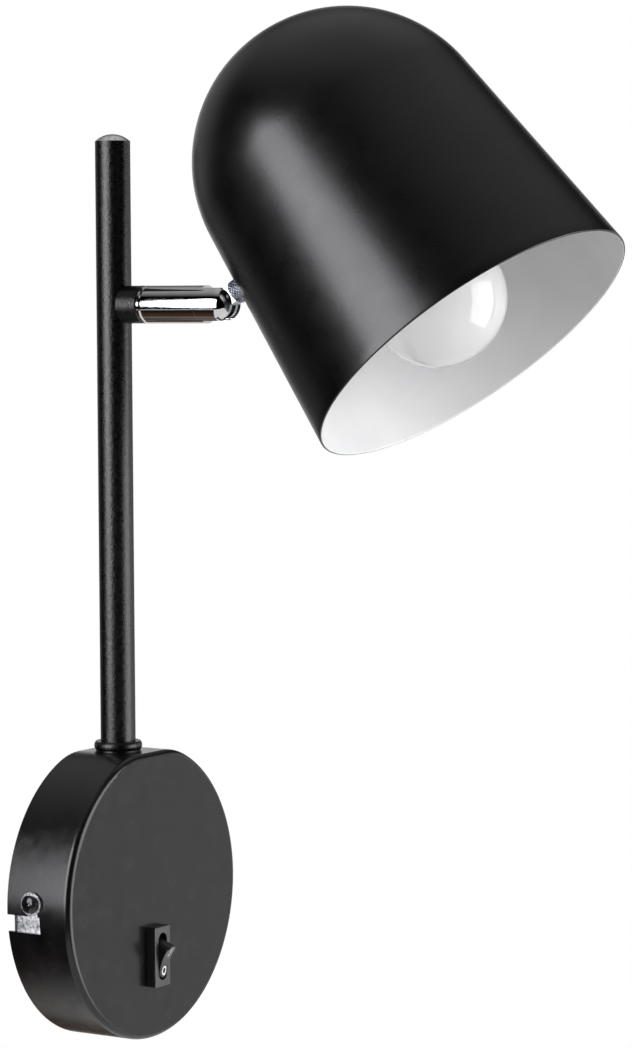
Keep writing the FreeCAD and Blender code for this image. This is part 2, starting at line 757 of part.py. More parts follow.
def switch_rocker():
    """Rocker with a dished face and a pin on each side, shown with its lower end pressed in."""
    body = new_body("switch_rocker", "rocker")
    half_width = "(rocker_slot_width / 2 - rocker_side_gap)"
    half_length = "(rocker_slot_height / 2 - rocker_end_gap)"
    plan = slot_outline(new_sketch(body, "XZ_Plane", "-rocker_inside"), half_width, half_length)
    pad(body, plan, "rocker_inside + rocker_end_proud")
    dish = f"(({half_length}^2 + rocker_dip^2) / (2 * rocker_dip))"
    front = "(rocker_end_proud + overrun)"
    face = outline(new_sketch(body, "YZ_Plane"), [
        ("-rocker_end_proud", half_length, dish, 1),
        (f"-{front}", half_length),
        (f"-{front}", f"-{half_length}"),
        ("-rocker_end_proud", f"-{half_length}"),
    ])
    pocket(body, face, both=True)
    hollow = value("rocker_dip - rocker_end_proud")
    soften(body, lambda edge: edge.BoundBox.YMax < hollow + value("seat_gap"), "rocker_edge")
    reach = "(rocker_slot_width / 2 + rocker_pin_grip)"
    pins = ring(new_sketch(body, "YZ_Plane"), "rocker_pin_radius")
    pad(body, pins, f"2 * {reach}", both=True)
    return body


def switch_terminals():
    """The two flat blades behind the switch."""
    blades = []
    for side in ("+", "-"):
        blade = doc.addObject("Part::Box", "switch_blade")
        tie(blade, "Length", "blade_width")
        tie(blade, "Width", "blade_length")
        tie(blade, "Height", "blade_thick")
        place(blade, "switch_shift - blade_width / 2", "-base_depth + housing_depth",
              f"-switch_drop {side} blade_pitch / 2 - blade_thick / 2")
        blades.append(blade)
    return group("switch_terminals", blades)


def terminal_block():
    """Two-pole block with a wire bore and two screw wells for each pole."""
    body = new_body("terminal_block", "block")
    pad(body, block_outline(new_sketch(body, "XY_Plane"), "block_width / 2", "block_length / 2",
                            "block_round"), "block_height")
    for side in ("", "-"):
        across = f"{side}pole_pitch / 2"
        drill(body, "pole_bore_radius", "block_length + 2 * overrun", x=across,
              y="block_length / 2 + overrun", z="pole_bore_height", axis=X_AXIS, angle=QUARTER)
        for end in ("", "-"):
            drill(body, "pole_screw_radius + seat_gap", "block_height - pole_bore_height + overrun",
                  x=across, y=f"{end}pole_screw_pitch / 2", z="pole_bore_height")
    drill(body, "block_screw_radius + seat_gap", "block_height + 2 * overrun", z="-overrun")
    drill(body, "block_screw_head + seat_gap", "block_height", z="block_height / 2")
    return body


def terminal_screws():
    """The clamping screws, two over each wire bore."""
    screws = []
    for side in ("+", "-"):
        for end in ("", "-"):
            pole_screw = doc.addObject("Part::Cylinder", "pole_screw")
            tie(pole_screw, "Radius", "pole_screw_radius")
            tie(pole_screw, "Height", "pole_screw_length")
            place(pole_screw, f"block_place {side} pole_pitch / 2",
                  "-strap_thick - pole_bore_height - core_radius - seat_gap",
                  f"{end}pole_screw_pitch / 2", X_AXIS, QUARTER)
            screws.append(pole_screw)
    return group("terminal_screws", screws)


def rod_pieces():
    """Rod with its end plug, the collar under it and the hollow nipple that holds it to the cover."""
    tube = turned("rod_tube", "rod", tube_corners("rod_radius", ROD_BORE, ROD_FOOT, "rod_top"))
    drill(tube, "arm_cable_radius", "rod_radius + overrun", z="arm_height", axis=X_AXIS, angle=QUARTER)
    dome = "((rod_radius^2 + plug_rise^2) / (2 * plug_rise))"
    plug = turned("rod_end_plug", "rod", [
        ("0", "rod_top - plug_depth"),
        (f"{ROD_BORE} - seat_gap", "rod_top - plug_depth"),
        (f"{ROD_BORE} - seat_gap", "rod_top"),
        ("rod_radius", "rod_top"),
        ("0", "rod_top + plug_rise", dome, 1),
    ])
    bead_low = f"({SEAT} + collar_neck_height)"
    bead_top = f"({bead_low} + collar_bead_height)"
    bulge = "(collar_bead_radius - collar_neck_radius)"
    bead_arc = f"(((collar_bead_height / 2)^2 + {bulge}^2) / (2 * {bulge}))"
    collar = turned("rod_collar", "rod", [
        (f"{NIPPLE_RADIUS} + seat_gap", SEAT),
        ("collar_neck_radius", SEAT),
        ("collar_neck_radius", bead_low),
        ("collar_neck_radius", bead_top, bead_arc, 1),
        ("rod_radius + seat_gap", bead_top),
        ("rod_radius + seat_gap", ROD_FOOT),
        (f"{NIPPLE_RADIUS} + seat_gap", ROD_FOOT),
    ])
    nipple = turned("rod_nipple", "rod",
                    tube_corners(NIPPLE_RADIUS, f"{NIPPLE_RADIUS} - nipple_wall",
                                 f"{SEAT_INNER} - nipple_inside", f"{SEAT} + nipple_engage"))
    lock = turned("rod_lock_washer", "rod",
                  tube_corners("rod_lock_radius", f"{NIPPLE_RADIUS} + seat_gap",
                               f"{SEAT_INNER} - rod_lock_thick", SEAT_INNER))
    nut = hex_nut("rod_nut", "rod", "rod_nut_flats", f"{NIPPLE_RADIUS} + seat_gap",
                  f"{SEAT_INNER} - rod_lock_thick - rod_nut_height", "rod_nut_height")
    return [tube, plug, collar, nipple, lock, nut]


def arm_boss():
    """Boss that is saddled on the rod and holds the swivel pin."""
    body = turned("arm_boss", "arm", [
        ("arm_cable_radius", "rod_reach"),
        ("arm_radius", "rod_reach"),
        ("arm_radius", BOSS_FRONT),
        (f"{PIN_RADIUS} + seat_gap", BOSS_FRONT),
        (f"{PIN_RADIUS} + seat_gap", f"{BOSS_FRONT} - pin_engage"),
        ("arm_cable_radius", f"{BOSS_FRONT} - pin_engage"),
    ])
    soften(body, at_rim("arm_radius", BOSS_FRONT), "ring_round", "Chamfer")
    slab = outline(new_sketch(body, "XZ_Plane"), [
        ("arm_radius + overrun", BOSS_REAR),
        ("-arm_radius - overrun", BOSS_REAR),
        ("-arm_radius - overrun", "rod_reach - overrun"),
        ("arm_radius + overrun", "rod_reach - overrun"),
    ])
    pocket(body, slab, both=True)
    drill(body, "rod_radius", "2 * arm_radius + 2 * overrun", y="arm_radius + overrun", z="rod_reach",
          axis=X_AXIS, angle=QUARTER)
    return body


def swivel_pieces():
    """Spacer ring, hollow pin, friction washer and slotted round nut of the swivel."""
    ring_piece = turned("swivel_ring", "arm",
                        tube_corners("arm_radius", f"{PIN_RADIUS} + seat_gap", BOSS_FRONT, RING_FRONT))
    soften(ring_piece, at_rim("arm_radius", BOSS_FRONT), "ring_round", "Chamfer")
    soften(ring_piece, at_rim("arm_radius", RING_FRONT), "ring_round", "Chamfer")
    nut_front = f"({NUT_REACH} + swivel_nut_height)"
    pin = turned("swivel_pin", "arm",
                 tube_corners(PIN_RADIUS, PIN_BORE, f"{BOSS_FRONT} - pin_engage",
                              f"{nut_front} + nut_slot_depth"))
    washer = turned("swivel_washer", "arm",
                    tube_corners(f"{KNUCKLE_BORE} - 2 * running_fit", f"{PIN_RADIUS} + seat_gap",
                                 WASHER_REACH, NUT_REACH))
    nut = turned("swivel_nut", "arm",
                 tube_corners(f"{KNUCKLE_BORE} - 2 * running_fit", f"{PIN_RADIUS} + seat_gap", NUT_REACH,
                              nut_front))
    cross = outline(new_sketch(nut, "XY_Plane", nut_front), [
        ("nut_slot_width / 2", "-arm_radius"),
        ("nut_slot_width / 2", "arm_radius"),
        ("-nut_slot_width / 2", "arm_radius"),
        ("-nut_slot_width / 2", "-arm_radius"),
    ])
    pocket(nut, cross, "nut_slot_depth")
    return [ring_piece, pin, washer, nut]


def knuckle_sleeve():
    """Polished sleeve that turns on the swivel pin."""
    body = turned("knuckle_sleeve", "arm", [
        (f"{PIN_RADIUS} + running_fit", SWIVEL_REAR),
        ("arm_radius", SWIVEL_REAR),
        ("arm_radius", KNUCKLE_SEAM),
        (KNUCKLE_BORE, KNUCKLE_SEAM),
        (KNUCKLE_BORE, SWIVEL_FLOOR),
        (f"{PIN_RADIUS} + running_fit", SWIVEL_FLOOR),
    ])
    soften(body, at_rim("arm_radius", SWIVEL_REAR), "knuckle_chamfer", "Chamfer")
    return body


def knuckle_clevis():
    """Clevis pressed into the sleeve, with two round ears about the tilt pivot."""
    tip = "(pivot_reach + arm_radius)"
    body = turned("knuckle_clevis", "arm", [
        (PIN_BORE, f"{KNUCKLE_SEAM} - clevis_spigot"),
        (f"{KNUCKLE_BORE} - seat_gap", f"{KNUCKLE_SEAM} - clevis_spigot"),
        (f"{KNUCKLE_BORE} - seat_gap", KNUCKLE_SEAM),
        ("arm_radius", KNUCKLE_SEAM),
        ("arm_radius", tip),
        (PIN_BORE, tip),
    ])
    far = "(arm_radius + overrun)"
    beyond = f"({tip} + overrun)"
    ears = outline(new_sketch(body, "YZ_Plane"), [
        (far, "pivot_reach"),
        (far, beyond),
        (f"-{far}", beyond),
        (f"-{far}", "pivot_reach"),
        ("-arm_radius", "pivot_reach"),
        ("0", tip, "arm_radius", -1),
        ("arm_radius", "pivot_reach", "arm_radius", -1),
    ])
    pocket(body, ears, both=True)
    gap = outline(new_sketch(body, "XZ_Plane"), [
        ("clevis_slot / 2", SLOT_FLOOR),
        ("clevis_slot / 2", beyond),
        ("-clevis_slot / 2", beyond),
        ("-clevis_slot / 2", SLOT_FLOOR),
    ])
    pocket(body, gap, both=True)
    drill(body, "pivot_screw_radius + seat_gap", "2 * arm_radius - pivot_tip_cover + overrun",
          x="-arm_radius + pivot_tip_cover", z="pivot_reach", axis=Y_AXIS, angle=QUARTER)
    drill(body, "pivot_head_radius + running_fit", "pivot_head_height + overrun",
          x="arm_radius - pivot_head_height", z="pivot_reach", axis=Y_AXIS, angle=QUARTER)
    return body


def pivot_screw():
    """Slotted screw across the clevis; the eye turns on its shank."""
    seat = "(arm_radius - pivot_head_height)"
    body = screw("pivot_screw", "pivot", "pivot_screw_radius", "pivot_head_radius",
                 "pivot_head_height - running_fit", "-arm_radius + pivot_tip_cover + running_fit", seat)
    top = "(arm_radius - running_fit)"
    drive = outline(new_sketch(body, "XY_Plane", top), [
        ("pivot_driver_width / 2", "-arm_radius"),
        ("pivot_driver_width / 2", "arm_radius"),
        ("-pivot_driver_width / 2", "arm_radius"),
        ("-pivot_driver_width / 2", "-arm_radius"),
    ])
    pocket(body, drive, "pivot_driver_depth")
    return body


def tilt_washers():
    """A thin washer between the eye and each ear."""
    washers = []
    for low in (WASHER_PLACE, f"(-{WASHER_PLACE} - tilt_washer_thick)"):
        corners = tube_corners("tilt_washer_radius", "pivot_screw_radius + running_fit", low,
                               f"{low} + tilt_washer_thick")
        washers.append(turned("ear_washer", "pivot", corners))
    return group("tilt_washers", washers)


def shade_stub():
    """Eye, neck, flange and hollow shank in one piece, with a wire groove round the eye."""
    body = new_body("shade_stub", "stub")
    flange = "(stub_reach - stub_washer_thick - stub_flange_thick)"
    eye = ring(new_sketch(body, "YZ_Plane"), "eye_radius")
    pad(body, eye, f"2 * {EYE_HALF}", both=True)
    web = outline(new_sketch(body, "YZ_Plane"), [
        ("neck_radius", "0"),
        ("neck_radius", "neck_shoulder"),
        ("-neck_radius", "neck_shoulder"),
        ("-neck_radius", "0"),
    ])
    pad(body, web, f"2 * {EYE_HALF}", both=True)
    turn(body, [
        ("0", "neck_shoulder"),
        ("neck_radius", "neck_shoulder"),
        ("neck_radius", flange),
        ("stub_flange_radius", flange),
        ("stub_flange_radius", f"{flange} + stub_flange_thick"),
        ("shank_radius", f"{flange} + stub_flange_thick"),
        ("shank_radius", SHANK_END),
        ("0", SHANK_END),
    ])
    soften(body, at_rim("stub_flange_radius", flange), "stub_edge", "Chamfer")
    floor = "(eye_radius - groove_depth)"
    path = outline(new_sketch(body, "XY_Plane"), [
        ("groove_width / 2", floor),
        ("groove_width / 2", "eye_radius + seat_gap"),
        ("-groove_width / 2", "eye_radius + seat_gap"),
        ("-groove_width / 2", floor),
    ])
    before = body.Shape.Volume
    groove = body.newObject("PartDesign::Groove", "shade_stub_groove")
    groove.Profile = path
    groove.ReferenceAxis = (path, ["H_Axis"])
    groove.Angle = 360
    doc.recompute()
    if not body.Shape.Volume < before:
        raise RuntimeError("shade_stub: the groove cuts nothing")
    drill(body, "stub_bore_radius", f"{SHANK_END} - {floor} + overrun", z=floor)
    half = f"({EYE_HALF} + overrun)"
    drill(body, "pivot_screw_radius + running_fit", f"2 * {half}", x=f"-{half}", axis=Y_AXIS, angle=QUARTER)
    return body


def shade():
    """Spun shell: a cone that meets a round dome on a common tangent, with a hole for the stub."""
    shell = new_body("shade_shell", "shade")
    inner_radius = f"({DOME_RADIUS} - shade_wall)"
    inner_join_radius = f"({inner_radius} * cos(cone_angle))"
    inner_join_height = f"({DOME_CENTRE} + {inner_radius} * sin(cone_angle))"
    turn(shell, [
        ("mouth_radius - shade_wall / cos(cone_angle)", "0"),
        ("mouth_radius", "0"),
        (f"{DOME_RADIUS} * cos(cone_angle)", "cone_height"),
        ("0", SHADE_TOP, DOME_RADIUS, 1),
        ("0", f"{SHADE_TOP} - shade_wall"),
        (inner_join_radius, inner_join_height, inner_radius, -1),
    ])
    hole = doc.addObject("Part::Cylinder", "shade_hole")
    tie(hole, "Radius", "shank_radius + running_fit")
    tie(hole, "Height", "shade_wall + 2 * overrun")
    lean = FRAMES["stub"]["angle"]
    start = "(stub_reach - overrun)"
    place(hole, "0", f"-pivot_reach - {start} * sin({lean})", f"arm_height + {start} * cos({lean})",
          X_AXIS, lean)
    cut = doc.addObject("Part::Cut", "shade")
    cut.Label = "shade"
    cut.Base = shell
    cut.Tool = hole
    return cut


def holder_bracket():
    """Bent strip that hangs the lampholder on the shade's axis."""
    strip = new_body("holder_strip", "shade")
    gap = f"(shade_wall + {STRIP_SAG} + strip_gap)"

    def face(station, depth):
        return f"(mouth_radius - ({station}) * tan(cone_angle) - {depth} / cos(cone_angle))"
    low_end = f"({FOOT_STATION} - strip_skirt)"
    outer_low = face(low_end, gap)
    inner_low = face(low_end, f"({gap} + strip_thick)")
    outer_high = face(NUT_SEAT, gap)
    inner_high = face(HOLDER_TOP, f"({gap} + strip_thick)")
    profile = outline(new_sketch(strip, "YZ_Plane"), [
        (outer_low, low_end),
        (outer_high, NUT_SEAT),
        ("-strip_end", NUT_SEAT),
        ("-strip_end", HOLDER_TOP),
        (inner_high, HOLDER_TOP),
        (inner_low, low_end),
    ])
    pad(strip, profile, "strip_width", both=True)
    high = value(NUT_SEAT)
    low = value(HOLDER_TOP)
    reach = value(inner_high) / 2

    def across_edge(level):
        def test(edge):
            box = edge.BoundBox
            flat = near(box.ZMin, level) and near(box.ZMax, level)
            return flat and near(box.YMin, box.YMax) and box.YMin > reach
        return test
    soften(strip, across_edge(high), "strip_bend + strip_thick")
    soften(strip, across_edge(low), "strip_bend")
    end = -value("strip_end")

    def end_corner(edge):
        box = edge.BoundBox
        upright = near(box.ZMin, low) and near(box.ZMax, high)
        return upright and near(box.YMin, end) and near(box.YMax, end)
    soften(strip, end_corner, "strip_width / 2 - stub_edge")
    drill(strip, "holder_nipple_radius + running_fit", "strip_thick + 2 * overrun", x="holder_shift",
          z=f"{HOLDER_TOP} - overrun")
    drill(strip, "strip_cable_radius", "strip_thick + 2 * overrun", y=STRIP_CABLE,
          z=f"{HOLDER_TOP} - overrun")
    hole = doc.addObject("Part::Cylinder", "holder_bracket_hole")
    tie(hole, "Radius", "shank_radius + running_fit")
    tie(hole, "Height", "strip_thick + 2 * overrun")
    lean = FRAMES["stub"]["angle"]
    start = f"({STRIP_OUTER} - overrun)"
    place(hole, "0", f"-pivot_reach - {start} * sin({lean})", f"arm_height + {start} * cos({lean})",
          X_AXIS, lean)
    cut = doc.addObject("Part::Cut", "holder_bracket")
    cut.Label = "holder_bracket"
    cut.Base = strip
    cut.Tool = hole
    return cut


def stub_fixings():
    """Washer outside the shade, lock washer and nut inside it."""
    outside = turned("stub_washer", "stub",
                     tube_corners("stub_washer_radius", "shank_radius + running_fit",
                                  "stub_reach - stub_washer_thick", "stub_reach - seat_gap"))
    inside = turned("stub_lock_washer", "stub",
                    tube_corners("stub_lock_radius", "shank_radius + running_fit", LOCK_PLACE,
                                 STUB_NUT_PLACE))
    nut = hex_nut("stub_nut", "stub", "stub_nut_flats", "shank_radius + seat_gap", STUB_NUT_PLACE,
                  "stub_nut_height")
    return [outside, inside, nut]


def lampholder():
    """Cup, skirt, core, screw shell, spring contact, nipple and nut, all on the bulb's axis."""
    cup_inner = "(holder_radius - holder_wall)"
    cup = turned("holder_cup", "holder", [
        (cup_inner, HOLDER_JOINT),
        ("holder_radius", HOLDER_JOINT),
        ("holder_radius", HOLDER_TOP),
        ("holder_nipple_radius + seat_gap", HOLDER_TOP),
        ("holder_nipple_radius + seat_gap", CUP_ROOF),
        (cup_inner, CUP_ROOF),
    ])
    soften(cup, at_rim("holder_radius", HOLDER_TOP), "holder_round")
    lap = f"({cup_inner} - seat_gap)"
    skirt = turned("holder_skirt", "holder", [
        ("holder_mouth_radius", HOLDER_MOUTH),
        ("holder_radius", HOLDER_MOUTH),
        ("holder_radius", f"{HOLDER_JOINT} - seat_gap"),
        (lap, f"{HOLDER_JOINT} - seat_gap"),
        (lap, f"{HOLDER_JOINT} + skirt_lap"),
        (f"{lap} - holder_wall", f"{HOLDER_JOINT} + skirt_lap"),
        (f"{lap} - holder_wall", f"{HOLDER_MOUTH} + holder_wall"),
        ("holder_mouth_radius", f"{HOLDER_MOUTH} + holder_wall"),
    ])
    soften(skirt, at_rim("holder_radius", HOLDER_MOUTH), "holder_wall / 2")
    core = turned("holder_core", "holder", [
        ("0", CORE_FLOOR),
        (lap, CORE_FLOOR),
        (lap, f"{CORE_FLOOR} + core_height"),
        ("0", f"{CORE_FLOOR} + core_height"),
    ])
    shell_inner = "(shell_radius - shell_thick)"
    shell = turned("screw_shell", "holder",
                   tube_corners("shell_radius", shell_inner, BULB_WAIST, CORE_FLOOR))
    contact = new_body("centre_contact", "holder")
    bow = outline(new_sketch(contact, "XZ_Plane"), [
        (f"{shell_inner} - 2 * contact_rise", CORE_FLOOR),
        (f"{shell_inner} - contact_rise", CORE_FLOOR),
        ("contact_rise", BULB_END),
        ("-contact_rise", BULB_END),
        (f"-{shell_inner} + contact_rise", CORE_FLOOR),
        (f"-{shell_inner} + 2 * contact_rise", CORE_FLOOR),
        ("-contact_rise", f"{BULB_END} + contact_thick"),
        ("contact_rise", f"{BULB_END} + contact_thick"),
    ])
    pad(contact, bow, "contact_width", both=True)
    nipple = turned("holder_nipple", "holder",
                    tube_corners("holder_nipple_radius", "holder_nipple_bore",
                                 CUP_ROOF, f"{NUT_SEAT} + holder_nipple_engage"))
    nut = hex_nut("holder_nut", "holder", "holder_nut_flats", "holder_nipple_radius + seat_gap", NUT_SEAT,
                  "holder_nut_height")
    return [cup, skirt, core, shell, contact, nipple, nut]


def bulb():
    """Opal globe on a screw cap with a glazed insulator and a tip contact."""

    def tangent(radius):
        """Where the globe's arc meets the arc of its waist."""
        across = f"({BULB_OFF} * {radius} / {BULB_SPAN})"
        return across, f"({BULB_CENTRE} + {BULB_RISE} * {radius} / {BULB_SPAN})"
    inner_radius = "(bulb_radius - bulb_glass)"
    globe = turned("bulb_glass", "holder", [
        ("0", f"{BULB_CENTRE} - bulb_radius"),
        ("bulb_radius", BULB_CENTRE, "bulb_radius", 1),
        (*tangent("bulb_radius"), "bulb_radius", 1),
        ("bulb_neck_radius", BULB_WAIST, "bulb_waist_radius", -1),
        ("bulb_neck_radius - bulb_glass", BULB_WAIST),
        (*tangent(inner_radius), "bulb_waist_radius + bulb_glass", 1),
        (inner_radius, BULB_CENTRE, inner_radius, -1),
        ("0", f"{BULB_CENTRE} - bulb_radius + bulb_glass", inner_radius, -1),
    ])
    cap_inner = "(bulb_cap_radius - bulb_cap_wall)"
    glaze_low = f"({CAP_END} + bulb_tip_height)"
    glaze_top = f"({CAP_END} + bulb_glaze_height)"
    cap = turned("bulb_cap", "holder", [
        (cap_inner, BULB_WAIST),
        ("bulb_cap_radius", BULB_WAIST),
        ("bulb_cap_radius", CAP_END),
        ("bulb_glaze_radius", glaze_low),
        ("bulb_glaze_radius", f"{glaze_low} - bulb_cap_wall"),
        (cap_inner, f"{CAP_END} - bulb_cap_wall"),
    ])
    glaze = turned("bulb_insulator", "holder", [
        ("0", glaze_low),
        ("bulb_glaze_radius", glaze_low),
        ("bulb_tip_radius", glaze_top),
        ("0", glaze_top),
    ])
    tip = turned("bulb_contact", "holder", [
        ("0", glaze_top),
        ("bulb_tip_radius", glaze_top),
        ("bulb_tip_radius / 2", BULB_END),
        ("0", BULB_END),
    ])
    return [globe, cap, glaze, tip]


def cable(label, points, radius, bend, frame="wall"):
    """A round cable along straight runs joined by tangent arcs, in one of the shared frames."""
    edges = []
    start = points[0]
    for index in range(1, len(points) - 1):
        corner, following = points[index], points[index + 1]
        back = (points[index - 1] - corner).normalize()
        ahead = (following - corner).normalize()
        half_angle = back.getAngle(ahead) / 2
        setback = bend / math.tan(half_angle)
        first = corner + back * setback
        last = corner + ahead * setback
        middle_way = (back + ahead).normalize()
        middle = corner + middle_way * (bend / math.sin(half_angle) - bend)
        edges.append(Part.makeLine(start, first))
        edges.append(Part.Arc(first, middle, last).toShape())
        start = last
    edges.append(Part.makeLine(start, points[-1]))
    path = Part.Wire(edges)
    heading = (points[1] - points[0]).normalize()
    section = Part.Wire([Part.makeCircle(radius, points[0], heading)])
    solid = path.makePipeShell([section], True, False)
    expected = math.pi * radius ** 2 * path.Length
    if abs(solid.Volume - expected) > expected * VOLUME_SHARE:
        raise RuntimeError(f"{label}: the cable's volume differs from its section times its length")
    feature = doc.addObject("Part::Feature", label)
    feature.Label = label
    feature.Shape = solid
    place(feature, **FRAMES[frame])
    print(f"{label}: length {path.Length:.1f}, bend radius {bend:.1f}")
    return feature


def spot(x, y, z):
    """A point given by three rules."""
    return FreeCAD.Vector(value(x), value(y), value(z))


def cables():
    """Flex in the rod and arm, single cores in the base, and flex in the shade."""
    flex_radius = value("flex_radius")
    core_radius = value("core_radius")
    core_bend = value("core_bend")
    depth = "-core_depth"
    rod_flex = cable("rod_flex", [
        spot("0", FLEX_LANE, FLEX_END),
        spot("0", FLEX_LANE, "arm_height"),
        spot("0", f"-{SLOT_FLOOR} + flex_short", "arm_height"),
    ], flex_radius, value("flex_bend"))
    upper_blade = "(-switch_drop + blade_pitch / 2)"
    blade_back = "(-base_depth + housing_depth + blade_length)"
    switched = cable("wire_switched", [
        spot("-core_side", FLEX_LANE, FLEX_END),
        spot("-core_side", FLEX_LANE, f"{FLEX_END} / 2"),
        spot("switch_shift", depth, "0"),
        spot("switch_shift", depth, f"{upper_blade} + core_bend"),
        spot("switch_shift", blade_back, f"{upper_blade} + core_radius + blade_thick / 2"),
    ], core_radius, core_bend / 2)
    bore_y = "(-strap_thick - pole_bore_height)"
    pole = "(block_place - pole_pitch / 2)"
    high, low = (f"(block_length / 2 + {share} * ({FLEX_END} - block_length / 2))" for share in TURN_SHARES)
    neutral = cable("wire_neutral", [
        spot("core_side", FLEX_LANE, FLEX_END),
        spot("core_side", FLEX_LANE, high),
        spot(pole, bore_y, low),
        spot(pole, bore_y, "block_length / 2 - core_insert"),
    ], core_radius, core_bend)
    pole = "(block_place + pole_pitch / 2)"
    lower_blade = "(-switch_drop - blade_pitch / 2)"
    blade_side = "(switch_shift + blade_width / 2 + blade_thick / 2)"
    line = cable("wire_line", [
        spot(pole, bore_y, "-block_length / 2 + core_insert"),
        spot(pole, bore_y, lower_blade),
        spot(blade_side, f"{blade_back} - blade_length / 2", lower_blade),
    ], core_radius, core_bend)
    inset = f"({SHANK_END} - stub_reach - flex_insert)"
    start_reach = f"({FOOT_RADIUS} - {inset} * cos(cone_angle))"
    level = f"({FOOT_STATION} - ({FOOT_RADIUS} - {STRIP_CABLE}) * tan(cone_angle))"
    loop_top = f"({HOLDER_TOP} + loop_rise)"
    lamp_flex = cable("lamp_flex", [
        spot("0", start_reach, f"{FOOT_STATION} - {inset} * sin(cone_angle)"),
        spot("0", STRIP_CABLE, level),
        spot("0", STRIP_CABLE, loop_top),
        spot("holder_shift", "0", loop_top),
        spot("holder_shift", "0", CUP_ROOF),
    ], flex_radius, value("loop_bend"), "shade")
    return [rod_flex, switched, neutral, line, lamp_flex]


def finish(pieces):
    """Check every object, then write one file for each piece."""
    doc.recompute()
    for item in doc.Objects:
        if "Invalid" in item.State or "Error" in item.State:
            raise RuntimeError(f"{item.Name} failed: {item.State}")
    for piece in pieces:
        shape = piece.Shape
        if shape.isNull() or not shape.isValid() or not shape.Solids:
            raise RuntimeError(f"{piece.Label}: no valid solid")
        piece.Shape.exportStep(f"parts/{piece.Label}.step")
    print(len(pieces), "pieces written")


def main():
    """Build all pieces and write them."""
    pieces = [base_cover(), wall_bracket()]
    pieces += side_fixings()
    pieces += [switch_housing(), switch_rocker(), switch_terminals()]
    block_seat = "(block_height / 2)"
    pieces += [terminal_block(), terminal_screws()]
    pieces.append(screw("block_screw", "block", "block_screw_radius", "block_screw_head",
                        "block_screw_head_height", "-strap_thick / 2", block_seat))
    pieces.append(turned("earth_washer", "earth",
                         tube_corners("earth_washer_radius", "earth_screw_radius + seat_gap", "0",
                                      "earth_washer_thick")))
    pieces.append(screw("earth_screw", "earth", "earth_screw_radius", "earth_head_radius",
                        "earth_head_height", "-strap_thick + seat_gap", "earth_washer_thick"))
    pieces += rod_pieces()
    pieces.append(arm_boss())
    pieces += swivel_pieces()
    pieces += [knuckle_sleeve(), knuckle_clevis(), pivot_screw()]
    pieces.append(tilt_washers())
    pieces += [shade_stub(), shade(), holder_bracket()]
    pieces += stub_fixings() + lampholder() + bulb() + cables()
    finish(pieces)


main()
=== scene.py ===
"""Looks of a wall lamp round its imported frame: finishes, fine pieces, studio and camera.

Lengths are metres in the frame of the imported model: +Z is up, the wall is y = 0, and the lamp
stands out towards -Y. Sizes that a class names in millimetres are turned into metres where they
are used.
"""

import logging
from collections.abc import Iterator, Sequence
from contextlib import contextmanager
from dataclasses import dataclass
from enum import Enum
from functools import partial
from math import acos, cos, degrees, hypot, pi, radians, sin, sqrt, tan

import bmesh
import bpy
from mathutils import Matrix, Vector

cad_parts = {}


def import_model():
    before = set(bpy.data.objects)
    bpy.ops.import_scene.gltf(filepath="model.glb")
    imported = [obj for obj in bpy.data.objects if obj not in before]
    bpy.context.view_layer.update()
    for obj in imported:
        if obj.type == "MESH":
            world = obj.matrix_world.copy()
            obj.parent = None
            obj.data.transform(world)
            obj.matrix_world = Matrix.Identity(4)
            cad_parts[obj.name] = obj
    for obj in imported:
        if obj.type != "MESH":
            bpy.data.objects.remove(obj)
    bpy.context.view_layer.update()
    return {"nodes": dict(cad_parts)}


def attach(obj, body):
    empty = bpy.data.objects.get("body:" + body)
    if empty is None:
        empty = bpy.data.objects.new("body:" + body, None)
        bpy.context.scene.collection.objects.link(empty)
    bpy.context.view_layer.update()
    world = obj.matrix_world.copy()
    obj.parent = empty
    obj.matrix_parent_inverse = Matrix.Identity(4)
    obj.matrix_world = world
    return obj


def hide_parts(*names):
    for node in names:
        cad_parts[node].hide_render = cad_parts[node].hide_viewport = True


LOG = logging.getLogger("wall_lamp")
MM = 0.001
WELD = 0.000001  # points nearer to each other than this are one, in metres
SEAM = 0.000002  # the same where a geometry tree closes its seams
OVERCUT = 1.0  # how far a cutter stands out of what it cuts, in millimetres
WHITE = (1.0, 1.0, 1.0, 1.0)
NOISE_SPAN = (0.3, 0.7)  # where most of a noise pattern lies
COLOUR_SPAN = (0.32, 0.68)  # where a colour drifts; outside it the colour is whole
GLOSS_PACE = 2.3  # waves of the roughness to one of the colour
PEEL_PACE, PEEL_SHARE = 2.6, 0.6  # how much longer and how high the second wave of paint is
LATHE_MARKS = (0.06, 0.06, 1.0)  # how turning draws the relief out round the axis
JOIN = "GeometryNodeJoinGeometry"
SUMS = ("MULTIPLY", "ADD", "SUBTRACT")

Colour = tuple[float, float, float]
Pair = tuple[float, float]
Ring = list[bmesh.types.BMVert]
Mesh = bpy.types.Mesh
Socket = bpy.types.NodeSocket
Thing = bpy.types.Object
Material = bpy.types.Material


class Body(Enum):
    """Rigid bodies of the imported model."""

    BASE = "base"
    ROCKER = "rocker"
    KNUCKLE = "knuckle"
    SHADE = "shade"


class Slot(Enum):
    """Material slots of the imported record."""

    PAINT = "black_paint"
    DARK_STEEL = "dark_steel"
    WHITE_PLASTIC = "white_plastic"
    CHROME = "chrome"


class Relief(Enum):
    """How the fine relief of a finish is laid out."""

    PEEL = "peel"
    TURNED = "turned"
    SPANGLE = "spangle"
    MOULDED = "moulded"


# ---- scene and node trees ----


def in_scene(name: str, data: bpy.types.ID) -> Thing:
    """Puts new data into the scene.

    Args:
        name: The new object's name.
        data: Its mesh, lamp or camera.

    Returns:
        The new object.
    """
    thing = bpy.data.objects.new(name, data)
    bpy.context.scene.collection.objects.link(thing)
    return thing


